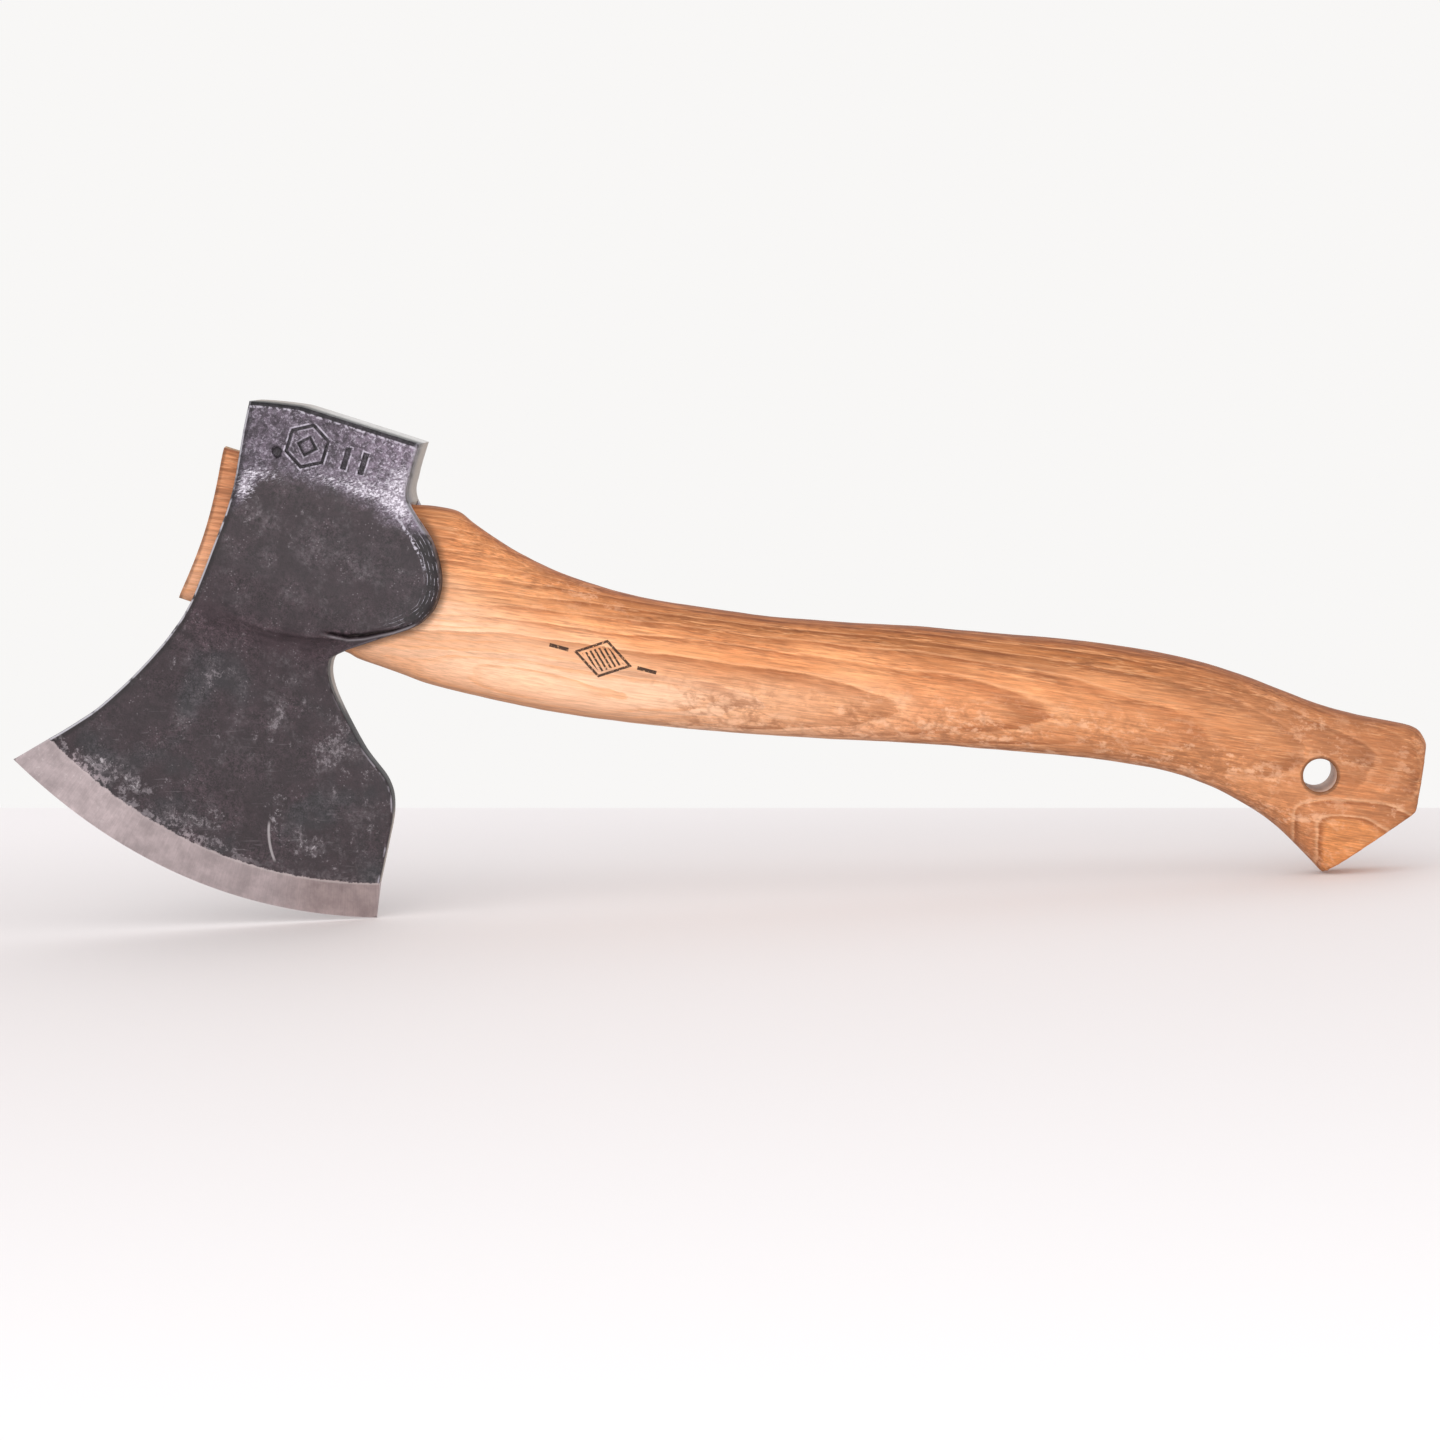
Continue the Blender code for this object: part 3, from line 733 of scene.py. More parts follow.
class Value:
    """What a node gives: a number, a vector or a colour. Arithmetic with values makes math nodes."""

    def __init__(self, graph, socket):
        self.graph = graph
        self.socket = socket

    def __add__(self, other):
        return self.graph.math("ADD", self, other)

    def __radd__(self, other):
        return self.graph.math("ADD", other, self)

    def __sub__(self, other):
        return self.graph.math("SUBTRACT", self, other)

    def __rsub__(self, other):
        return self.graph.math("SUBTRACT", other, self)

    def __mul__(self, other):
        return self.graph.math("MULTIPLY", self, other)

    def __truediv__(self, other):
        return self.graph.math("DIVIDE", self, other)

    def __pow__(self, other):
        return self.graph.math("POWER", self, float(other))

    def __abs__(self):
        return self.graph.math("ABSOLUTE", self)


class Graph:
    """Builds a node material in few words. What its methods take may be a number, a tuple or a Value."""

    def __init__(self, name):
        self.material = bpy.data.materials.new(name)
        self.material.use_nodes = True
        self.tree = self.material.node_tree
        self.shader = self.tree.nodes["Principled BSDF"]
        self.colour = None

    def node(self, kind, **settings):
        made = self.tree.nodes.new(kind)
        for key, value in settings.items():
            setattr(made, key, value)
        return made

    def put(self, socket, value):
        if isinstance(value, Value):
            self.tree.links.new(value.socket, socket)
        elif isinstance(value, tuple) and socket.type == "RGBA":
            socket.default_value = (*value[:3], 1)
        else:
            socket.default_value = value

    def fill(self, made, values, output=0):
        """Puts values into a node's inputs, by number or name, and gives one of its outputs."""
        for key, value in values.items():
            self.put(made.inputs[key], value)
        return Value(self, made.outputs[output])

    def attribute(self, name, output="Fac"):
        return self.fill(self.node("ShaderNodeAttribute", attribute_name=name), {}, output)

    def position(self):
        """Where the point is in the scene, in millimetres."""
        place = self.fill(self.node("ShaderNodeNewGeometry"), {}, "Position")
        return self.vector("MULTIPLY", place, (1 / MM,) * 3)

    def math(self, operation, *values, clamp=False):
        made = self.node("ShaderNodeMath", operation=operation, use_clamp=clamp)
        return self.fill(made, dict(enumerate(values)))

    def limit(self, value):
        return self.math("ADD", value, 0, clamp=True)

    def split(self, vector):
        made = self.node("ShaderNodeSeparateXYZ")
        self.put(made.inputs[0], vector)
        return tuple(Value(self, output) for output in made.outputs)

    def join(self, x, y, z):
        return self.fill(self.node("ShaderNodeCombineXYZ"), {0: x, 1: y, 2: z})

    def vector(self, operation, a, b, output=0):
        return self.fill(self.node("ShaderNodeVectorMath", operation=operation), {0: a, 1: b}, output)

    def turned(self, vector, axis, angle):
        made = self.node("ShaderNodeVectorRotate", rotation_type=f"{axis}_AXIS")
        return self.fill(made, {"Vector": vector, "Angle": math.radians(angle)})

    def random(self, value):
        """A random number that changes with each whole number of the value."""
        made = self.node("ShaderNodeTexWhiteNoise", noise_dimensions="1D")
        return self.fill(made, {"W": self.math("FLOOR", value)}, "Value")

    def noise(self, vector, size, detail=3, roughness=0.5, distortion=0):
        """Noise from 0 to 1 with features of a size in millimetres. A tuple of sizes stretches it."""
        if isinstance(size, tuple):
            vector = self.vector("MULTIPLY", vector, tuple(1 / s for s in size))
            size = 1
        settings = {"Scale": 1 / size, "Detail": detail, "Roughness": roughness, "Distortion": distortion}
        return self.fill(self.node("ShaderNodeTexNoise"), {"Vector": vector, **settings}, "Fac")

    def cells(self, vector, size, feature="F1"):
        """Distance to the middle, or to the edge, of the nearest cell."""
        made = self.node("ShaderNodeTexVoronoi", feature=feature)
        return self.fill(made, {"Vector": vector, "Scale": 1 / size, "Randomness": 1}, "Distance")

    def band(self, value, low, high, out_low=0, out_high=1):
        """A smooth step from out_low to out_high as value goes from low to high."""
        if low > high:
            low, high, out_low, out_high = high, low, out_high, out_low
        made = self.node("ShaderNodeMapRange", interpolation_type="SMOOTHSTEP")
        limits = {"From Min": low, "From Max": high, "To Min": out_low, "To Max": out_high}
        return self.fill(made, {"Value": value, **limits}, "Result")

    def between(self, value, start, full, fading, gone):
        """1 from full to fading, and 0 before start and after gone."""
        return self.band(value, start, full) * self.band(value, gone, fading)

    def blend(self, share, a, b, mode="MIX"):
        made = self.node("ShaderNodeMix", data_type="RGBA", blend_type=mode)
        return self.fill(made, {0: share, 6: a, 7: b}, 2)

    def tint(self, colour, amount):
        """The colour times a grey amount."""
        return self.vector("MULTIPLY", colour, self.join(amount, amount, amount))

    def paint(self, share, colour, mode="MIX"):
        """Lays a colour over what is painted so far."""
        self.colour = self.blend(share, self.colour, colour, mode)

    def shade(self, amount):
        """Multiplies what is painted so far by a grey amount."""
        self.colour = self.tint(self.colour, amount)

    def darken(self, share):
        self.shade(1 - share)

    def lerp(self, share, a, b):
        return self.fill(self.node("ShaderNodeMix", data_type="FLOAT"), {0: share, 2: a, 3: b})

    def finish(self, colour, roughness, metallic, height, specular=0.5):
        """Links what varies over the surface. height is in millimetres."""
        inputs = self.shader.inputs
        self.put(inputs["Base Color"], colour)
        self.put(inputs["Roughness"], roughness)
        self.put(inputs["Metallic"], metallic)
        self.put(inputs["Specular IOR Level"], specular)
        bump = self.node("ShaderNodeBump")
        self.put(inputs["Normal"], self.fill(bump, {"Strength": 1, "Distance": MM, "Height": height}))
        return self.material


# Colours and places of the steel. Places are in the head's own millimetres.
SCALE_DARK = (0.0255, 0.016, 0.02)
SCALE_BROWN = (0.0405, 0.0265, 0.032)
SCALE_BLUE = (0.027, 0.031, 0.035)
WORN_GREY = (0.205, 0.18, 0.195)
WORN_PALE = (0.36, 0.3, 0.32)
MARK_PALE = (0.44, 0.41, 0.43)
SCRATCH_GREY = (0.36, 0.33, 0.34)
POLL_DARK = (0.042, 0.032, 0.043)
POLL_GREY = (0.13, 0.102, 0.135)
POLL_GLINT = (0.56, 0.51, 0.6)
BRUSHED_DARK = (0.24, 0.21, 0.25)
BRUSHED_PALE = (0.74, 0.7, 0.78)
STRUCK_HIGHLIGHT_GREY = (0.5, 0.46, 0.54)
RIM_HIGHLIGHT_GREY = (0.52, 0.49, 0.56)
LIP_HIGHLIGHT_GREY = (0.33, 0.31, 0.335)
FLANK_GREY = (0.415, 0.362, 0.315)
TOP_REFLECTION_GREY = (0.7, 0.68, 0.655)
EDGE_HIGHLIGHT_GREY = (0.56, 0.54, 0.59)
BEVEL_TOE = (0.505, 0.435, 0.442)
BEVEL_HEEL = (0.435, 0.358, 0.356)
BEVEL_LINE = (0.72, 0.65, 0.65)
BEVEL_NICK = (0.78, 0.74, 0.73)
SCRATCH_PLACE = (15.2, 0, -82.5)  # along, side, up
SCRATCH_ANGLE = -65.4
SCRATCH_BOW = 0.022
STREAK_ANGLE = -72
BRUSH_ANGLE = 32
PIT = (-14.1, -26.8)  # along, down
HEXAGON_FLAT = 0.866  # how near a flat side comes to the middle, for a corner at 1
LOZENGE_FLAT = 0.707
RIM_SPACING = 0.52
BEAD_INSET = 4.3
BEVEL_GLINT = 27  # along the edge from the toe


def black_scale(g, s):
    """Black forge scale, with painted light where its surface turns down."""
    g.colour = g.blend(g.band(s.mottle, 0.36, 0.64), SCALE_DARK, SCALE_BROWN)
    tinge = g.band(s.cloud, 0.48, 0.62) * g.band(s.up, -10, -50, 0.1, 0.5)
    g.paint(tinge, SCALE_BLUE)
    coarse = g.band(g.noise(s.p, (14, 14, 9), 3, 0.6), 0.4, 0.62)
    g.shade(g.lerp(coarse, g.band(s.grain, 0.28, 0.72, 0.84, 1.16), g.band(s.grain, 0.28, 0.72, 0.5, 1.66)))
    g.shade(g.lerp(coarse, g.band(s.grit, 0.3, 0.7, 0.82, 1.18), g.band(s.grit, 0.3, 0.7, 0.48, 1.66)))
    # Painted light: up to 1.4 times brighter where the surface faces down, and a little darker where it faces
    # up.
    g.shade(g.band(s.facing_up, -0.12, -0.45, 0.93, 1.4))


def worn_patches(g, s):
    """Patches where the scale is worn thin, most of them low on the blade."""
    low = g.band(s.up, -22, -62, 0.1, 1)
    patch = g.noise(s.p, 3.4, 8, 0.77, 0.2) + s.rubbed * g.band(s.up, -26, -40, 0.03, 0.16)
    patches = g.band(patch, 0.6, 0.668) * g.band(g.noise(s.p, 0.9, 5, 0.75), 0.42, 0.6, 0.12, 1.1)
    haze = g.band(g.noise(s.p, 7, 6, 0.66) + s.rubbed * 0.16, 0.5, 0.72)
    haze = haze * g.band(g.noise(s.p, 1.1, 4, 0.7), 0.42, 0.66, 0.2, 2) * 0.21
    streak = g.noise(g.turned(s.p, "Y", STREAK_ANGLE), (0.7, 8, 8), 4, 0.6)
    streaks = g.band(streak, 0.62, 0.76) * low * 0.35
    dots = g.band(g.cells(s.p, 0.95), 0.3, 0.14)
    specks = dots * g.band(g.noise(s.p, 6, 4, 0.65), 0.52, 0.64)
    border = g.noise(s.p, 2.6, 6, 0.76) + g.band(s.ground, -7, -0.4, -0.1, 0.08)
    chips = g.band(border, 0.545, 0.63) * g.band(s.ground, -9, -4) * g.band(s.run, 66, 84, 1, 0.25)
    s.worn = patches * 0.8 + (streaks + haze) + (specks * 0.62 + chips * 0.8)
    s.worn = g.limit(s.worn)
    fringe = g.band(s.ground, -4, -0.5) * g.band(g.noise(s.p, 9, 3), 0.4, 0.6)
    g.paint(s.worn, g.blend(fringe, WORN_GREY, WORN_PALE))
    bright = (
        g.band(g.noise(s.p, 1.7, 5, 0.72, 0.6), 0.56, 0.63)
        * g.band(s.rubbed, 0.45, 0.9)
        * g.band(s.up, -60, -70)
    )
    g.paint(bright * 0.8, MARK_PALE)


def long_scratch(g, s):
    """One long curved scratch."""
    turn = g.turned(g.vector("SUBTRACT", s.p, SCRATCH_PLACE), "Y", SCRATCH_ANGLE)
    s_run, _, s_off = g.split(turn)
    s_off = s_off - s_run * s_run * SCRATCH_BOW
    s.scratch = g.band(abs(s_off), 0.52, 0.18) * g.band(abs(s_run), 6.6, 4.4)
    g.paint(s.scratch * g.band(s.side, -1, -2) * 0.8, SCRATCH_GREY)


def bare_poll(g, s):
    """The poll, bare and peened, with painted glints on it, and the brushed places where it meets the cheeks.
    """
    border = g.band(s.along, -14, -22, 0, 13) + g.band(s.along, 12, 32, 0, 5)
    s.poll = s.up + border + (s.mottle - 0.5) * 10
    s.poll = g.band(s.poll, 18.5, 25) * s.face
    toward = g.band(s.along, -4, 26)
    s.peen = g.noise(s.p, 2, 5, 0.7)
    bare = g.blend(g.band(s.peen, 0.38, 0.6), POLL_DARK, POLL_GREY)
    bare = g.tint(bare, g.lerp(toward, 0.82, 1.6) * g.band(s.grit, 0.3, 0.7, 0.7, 1.3))
    # Painted highlights: small bright glints scattered over the peened poll, brightest towards the butt; the
    # same spots raise the bump a little.
    s.flash = g.band(g.noise(s.p, 0.75, 4, 0.72), 0.51, 0.62) * (0.35 + toward * 0.65)
    s.flash = s.flash * g.band(g.noise(s.p, 4, 3, 0.6), 0.36, 0.6, 0.25, 1)
    bare = g.blend(s.flash, bare, POLL_GLINT)
    g.paint(s.poll * 0.95, bare)
    brush = g.noise(g.turned(s.p, "Y", BRUSH_ANGLE), (1.6, 0.9, 0.42), 6, 0.8)
    s.belt = g.band(brush + (s.flared - 0.5) * 0.3, 0.47, 0.6)
    s.belt = s.belt * g.band(s.flared, 0.06, 0.6) * s.face
    glint = g.blend(g.band(g.noise(s.p, 0.8, 4, 0.7), 0.42, 0.6), BRUSHED_DARK, BRUSHED_PALE)
    g.paint(s.belt * 0.85, glint)


def struck_marks(g, s):
    """The struck marks and a pit beside them: painted highlights round the marks, and painted shade in their
    grooves and in the pit.
    """
    s.pit = (s.along - PIT[0]) ** 2 + (s.up + PIT[1]) ** 2
    s.pit = g.band(g.math("SQRT", s.pit) + (s.peen - 0.5) * 3, 1.7, 0.8) * g.band(s.side, -9, -10)
    mark_x, mark_y = s.along - STAMP_CENTRE[0], s.up + STAMP_CENTRE[1]
    slope = mark_y * HEXAGON_FLAT
    hexagon = abs(mark_x)
    for half in (0.5, -0.5):
        hexagon = g.math("MAXIMUM", hexagon, abs(mark_x * half + slope))
    hexagon = hexagon - STAMP_RADIUS * HEXAGON_FLAT
    lozenge = abs(mark_x) + abs(mark_y)
    lozenge = (lozenge - LOZENGE_RADIUS) * LOZENGE_FLAT
    middle = (NOTCHES[0] + NOTCHES[1]) / 2
    notch = abs(abs(s.along - middle) - (NOTCHES[1] - middle))
    notch = g.math("MAXIMUM", notch - NOTCH_HALF[0], abs(mark_y) - NOTCH_HALF[1])
    # Painted highlight: bright lines round the hexagon, the lozenge and the notches, as if their rims caught
    # the light.
    struck_highlight = g.band(abs(hexagon - 0.72), 0.34, 0.08) + g.band(abs(notch - 0.3), 0.32, 0.08)
    struck_highlight = struck_highlight + g.band(abs(hexagon + 0.72), 0.3, 0.08) * 0.6
    struck_highlight = struck_highlight + g.band(abs(lozenge - 0.66), 0.28, 0.06) * 0.6
    struck_highlight = struck_highlight * g.band(s.side, -9, -10) * g.band(g.noise(s.p, 1.3, 3, 0.6), 0.4, 0.56)
    struck_highlight = g.limit(struck_highlight) * (1 - g.attribute("sunk"))
    g.paint(struck_highlight * 0.7, STRUCK_HIGHLIGHT_GREY)
    # Painted shade: the floors of the struck grooves and the pit are darkened.
    sunk = g.attribute("sunk") * g.band(s.grain, 0.3, 0.6, 0.86, 0.62)
    g.darken(g.limit(s.pit * 0.7 + sunk))


def rims_and_crease(g, s):
    """Rims: painted highlights as thin bright lines along the edges, over the lug rim's ridges, and painted
    shade as dark lines beside them; then the crease's painted shadow and the lip's painted highlight.
    """
    # Painted highlights and shade: bright beads and a dark line along the poll's edge, bright broken ridges
    # on the lug's rim with painted shade inside it, a bright line with a dark one inside along the left
    # outline, and bright lines along the right outline, the neck and a bead inset from it.
    beads = g.between(s.poll_edge, 1.1, 1.3, 1.6, 2) * g.band(g.noise(s.p, 1, 2), 0.44, 0.58)
    g.darken(g.band(s.poll_edge, 1.4, 1) * 0.85)
    lug = g.between(s.up, -13, -6, 16, 20) * s.face
    offset = s.right + ((g.noise(s.p, 7, 3) - 0.5) * 1.6 + (s.grain - 0.5) * 0.5)
    ridge = g.band(g.math("PINGPONG", offset, RIM_SPACING), 0.38, 0.5)
    broken = g.band(g.noise(s.p, 2.6, 4, 0.65), 0.46, 0.6)
    s.rim = lug * ridge * broken * g.between(s.right, 0.2, 0.7, 3.6, 5.2)
    g.darken(lug * g.band(s.right, 4.6, 3) * 0.58)
    s.edge = g.between(s.left, 0.05, 0.15, 0.5, 0.8) * g.band(g.noise(s.p, 4, 3), 0.3, 0.46)
    g.darken(g.band(s.left, 2.4, 1.3) * 0.5)
    back_edge = g.between(s.right, 0.05, 0.2, 0.4, 0.75) * g.band(s.up, 16, 10)
    back_edge = back_edge * g.band(g.noise(s.p, 4, 3), 0.44, 0.58) * g.band(s.up, -46, -54, 0.25, 1)
    neck = g.band(s.right, 1.1, 0.5) * g.band(s.up, 12, 18) * g.band(g.noise(s.p, 3, 3), 0.36, 0.52)
    bead = abs(s.right + (s.mottle - 0.5) * 2.2 - BEAD_INSET)
    bead = g.band(bead, 0.62, 0.25) * g.between(s.up, 6, 9.5, 17, 21) * s.face
    bead = bead * g.band(g.noise(s.p, 1.1, 3, 0.6), 0.45, 0.55)
    s.rim = s.rim + bead
    rims = s.rim * 0.85 + back_edge * 0.5
    rims = g.limit(rims + (beads * 0.6 + neck * 0.55))
    g.paint(rims, RIM_HIGHLIGHT_GREY)
    # Painted shadow in the groove under the lugs, and a painted highlight on the lip below it.
    s.crease = g.attribute("crease")
    g.darken(s.crease * g.band(s.grain, 0.3, 0.7, 0.86, 0.66))
    lip = g.attribute("lip") * g.band(g.noise(s.p, 5, 3), 0.3, 0.55, 0.35, 1)
    g.paint(lip * 0.62, LIP_HIGHLIGHT_GREY)


def flanks(g, s):
    """Flanks: painted shade along the near edge, warm grey beyond that is painted lighter further from it, a
    pale painted reflection where they face up, black on the back of the beard as a painted dark reflection,
    and a painted highlight along the left edge.
    """
    # Painted light and shade: the flanks are darkened, more so on the back of the beard, then given a grey
    # that grows lighter away from the near side, and near white where they face up.
    beyond = g.lerp(g.band(s.up, 12, 18), g.band(s.side, -2.6, 0.6), g.band(s.side, -9.8, 3))
    bare_flank = g.band(s.flank, 0.5, 0.9) * (beyond * 0.78 + g.band(s.grain, 0.35, 0.65, 0, 0.22))
    black_back = g.between(s.up, -66, -61, -42, -34) * g.band(s.along, 12, 20)
    bare_flank = bare_flank * (1 - black_back * 0.92)
    g.shade(g.lerp(s.flank, 1, g.lerp(black_back, 0.5, 0.16)))
    top = g.band(s.facing_up, 0.5, 0.9) * g.band(s.along, -22, 2)
    g.paint(bare_flank, g.blend(top, FLANK_GREY, TOP_REFLECTION_GREY))
    g.paint(s.edge * g.band(s.side, -0.8, -1.2) * 0.75, EDGE_HIGHLIGHT_GREY)


def ground_bevel(g, s):
    """The ground bevel, with a ragged line where the scale ends."""
    ragged = (g.noise(s.p, 2, 5, 0.72) - 0.5) * 1.9 + (s.grit - 0.5) * 1
    s.steel = g.band(s.ground + ragged, -0.1, 0.2)
    s.lines = g.noise(g.join(s.run * 2.4, s.ground * 0.12, 0), 1, 4, 0.66)
    broad = g.noise(g.join(s.run * 0.1, s.ground * 0.12, 0), 1, 4, 0.6)
    smear = g.noise(s.p, 3.5, 6, 0.66)
    bright = g.band(s.lines, 0.2, 0.8, 0.9, 1.09) * g.band(broad, 0.3, 0.7, 0.9, 1.1)
    bright = bright * g.band(smear, 0.35, 0.65, 0.9, 1.1)
    bright = bright * g.band(abs(s.run - BEVEL_GLINT), 15, 5, 1, 1.11)
    bevel = g.tint(g.blend(g.band(s.run, 84, 102), BEVEL_TOE, BEVEL_HEEL), bright)
    top_line = g.between(s.ground, -0.1, 0.2, 0.35, 0.9) * g.band(s.run, 50, 80, 0.2, 1)
    bevel = g.blend(top_line * 0.5, bevel, BEVEL_LINE)
    nicks = g.band(g.noise(s.p, 1.6, 4, 0.7), 0.6, 0.68) * g.band(s.run, 40, 20, 0.25, 1)
    bevel = g.blend(nicks * 0.35, bevel, BEVEL_NICK)
    g.paint(s.steel, bevel)


def steel_surface(g, s):
    """Gloss, metal and relief, and the finished material."""
    rough = g.band(s.mottle, 0.3, 0.7, 0.48, 0.58) + s.grit * 0.08
    rough = g.lerp(s.poll, rough, g.band(s.grain, 0.3, 0.7, 0.34, 0.5))
    rough = g.lerp(s.steel, rough, g.band(s.lines, 0.2, 0.8, 0.36, 0.44))
    metal = g.lerp(g.limit(s.poll * 0.6 + s.worn * 0.4), 0.1, 0.7)
    # Where the crease's painted shadow lies, metal and specular are taken away too.
    metal = g.lerp(s.steel, metal, 1) * (1 - s.crease)
    height = s.mottle * 0.1 + (s.grain * 0.085 + s.grit * 0.02)
    height = height + s.poll * (s.flash * 0.03 + (s.grain * 0.08 + s.peen * 0.16))
    height = height + (s.belt * 0.04 + s.rim * 0.12)
    height = height - (s.pit * 0.5 + s.scratch * 0.05)
    height = g.lerp(s.steel, height, s.lines * 0.005)
    return g.finish(g.colour, rough, metal, height, g.lerp(s.crease, 0.5, 0.02))


def forged_steel():
    g = Graph("forged_steel_scale")
    s = SimpleNamespace()
    s.p = g.attribute("design", "Vector")
    s.along, s.side, s.up = g.split(s.p)
    s.left = g.attribute("from_left")
    s.right = g.attribute("from_right")
    s.poll_edge = g.attribute("from_poll")
    s.ground = g.attribute("ground")
    s.run = g.attribute("edge_run")
    s.flank = g.attribute("flank")
    s.rubbed = g.attribute("worn")
    s.flared = g.attribute("flared")
    s.face = g.band(s.flank, 0.8, 0.2)
    s.facing_up = g.attribute("facing_up")
    s.cloud = g.noise(s.p, 26, 3, 0.55)
    s.mottle = g.noise(s.p, 6, 6, 0.62)
    s.grain = g.noise(s.p, 1.4, 5, 0.68)
    s.grit = g.noise(s.p, 0.45, 3, 0.65)
    black_scale(g, s)
    worn_patches(g, s)
    long_scratch(g, s)
    bare_poll(g, s)
    struck_marks(g, s)
    rims_and_crease(g, s)
    flanks(g, s)
    ground_bevel(g, s)
    return steel_surface(g, s)


# Colours and places of the wood
TAN_DARK = (0.63, 0.24, 0.088)
TAN_PALE = (0.77, 0.335, 0.138)
SAPWOOD_AND_LIGHT = (0.91, 0.55, 0.355)
HEARTWOOD_AND_SHADE = (0.335, 0.112, 0.03)
GRIP_BROWN = (0.5, 0.195, 0.072)
UNDERSIDE_SHADE_BROWN = (0.56, 0.25, 0.12)
BUTT_BROWN = (0.455, 0.168, 0.062)
TOP_BROWN = (0.36, 0.135, 0.052)
KNOB_AMBER = (0.7, 0.27, 0.085)
TENON_TOP = (0.6, 0.235, 0.105)
TENON_FOOT = (0.86, 0.44, 0.26)
RING_SHADE = (0.56, 0.42, 0.32)
LATE_WOOD = (0.76, 0.345, 0.155)
RING_PALE = (0.92, 0.56, 0.33)
STREAK_DARK = (0.27, 0.095, 0.032)
STREAK_PALE = (0.9, 0.5, 0.26)
DASH_DARK = (0.25, 0.085, 0.03)
DASH_PALE = (0.88, 0.5, 0.25)
FIGURE_PALE = (0.9, 0.53, 0.33)
FIGURE_DARK = (0.36, 0.145, 0.062)
CRACK_BROWN = (0.27, 0.105, 0.045)
BURNT = (0.018, 0.01, 0.008)
BORE_SHADE = (0.72, 0.58, 0.5)
NO_SHADE = (1, 1, 1)
TOP_SHADE = (0.72, 0.62, 0.56)
GRAIN_ANGLE = 9.5
PITH = (105, -46, -19)  # along, side, up
PITH_SLANT = (0.09, 0.30)  # sideways and upwards, for each millimetre along
FIRST_RING = 36.5
RING_WIDTH = 3.2
KNOB_FIGURE = (317.3, -9.4)  # along, down
KNOB_AXIS = (-0.954, -0.3)
KNOB_LOOP_WIDTH = 6.8
KNOB_LOOP_SHIFT = 0.945
MARK_PLACE = (92, 0, -1.5)  # along, side, up
MARK_ANGLE = 3
MARK_HALF = (8.5, 5.5)
MARK_HATCH = 0.9
MARK_DASHES = 13


def growth_rings(g, s):
    """Growth rings: a cone of them about a pith on the near side, so that the sides show cathedrals."""
    wobble = (g.noise(s.p, (70, 24, 20), 2, 0.5) - 0.5) * 2.2
    ripple = (g.noise(s.p, (20, 7, 5), 3, 0.5) - 0.5) * 1.5
    from_pith = s.along - PITH[0]
    depth = s.side - PITH[1] + from_pith * PITH_SLANT[0]
    height = s.up - (from_pith * PITH_SLANT[1] + PITH[2])
    squared = depth * depth + height * height
    radius = g.math("SQRT", squared) + (wobble + (ripple + (s.fuzz - 0.5) * 0.25))
    rings = (radius - FIRST_RING) / RING_WIDTH
    s.phase = g.math("FRACT", rings)
    s.tone = g.random(rings)
    s.line = g.between(s.phase, 0.5, 0.92, 0.94, 1)
    s.pale_line = g.between(s.phase, 0, 0.04, 0.06, 0.16)
    s.late = g.math("FRACT", rings * 2.6)
    s.late = g.between(s.late, 0.45, 0.9, 0.92, 1)


def knob_loops(g, s):
    """The loops at the tip of the knob."""
    tip_s, tip_u = s.along - KNOB_FIGURE[0], s.up + KNOB_FIGURE[1]
    bend = (g.noise(s.p, 11, 3, 0.55) - 0.5) * 3
    leftward = tip_s * KNOB_AXIS[0] + tip_u * KNOB_AXIS[1]
    upward = tip_s * KNOB_AXIS[1] - tip_u * KNOB_AXIS[0]
    rightward = leftward * -0.516
    slant = rightward + upward * 0.857 + 3.6
    upward = (upward - 13) * 1.74 + 13.7
    upward = upward - g.math("MAXIMUM", upward - 20.5, 0) * 0.49
    s.loop = g.math("SMOOTH_MAX", g.math("SMOOTH_MAX", leftward, upward, 7), slant, 5)
    s.loop = s.loop + (bend + (s.fuzz - 0.5) * 0.6)
    knob_phase = g.math("FRACT", s.loop / KNOB_LOOP_WIDTH + KNOB_LOOP_SHIFT)
    knob_line = g.between(knob_phase, 0.72, 0.95, 0.965, 1)
    outer = g.band(s.loop, 9, 11)
    knob_line = knob_line * outer
    knob_pale = g.between(knob_phase, 0, 0.04, 0.06, 0.2) * outer
    s.in_knob = g.band(s.loop, 31, 23)
    s.line = g.lerp(s.in_knob, s.line, knob_line)
    s.pale_line = g.lerp(s.in_knob, s.pale_line, knob_pale)


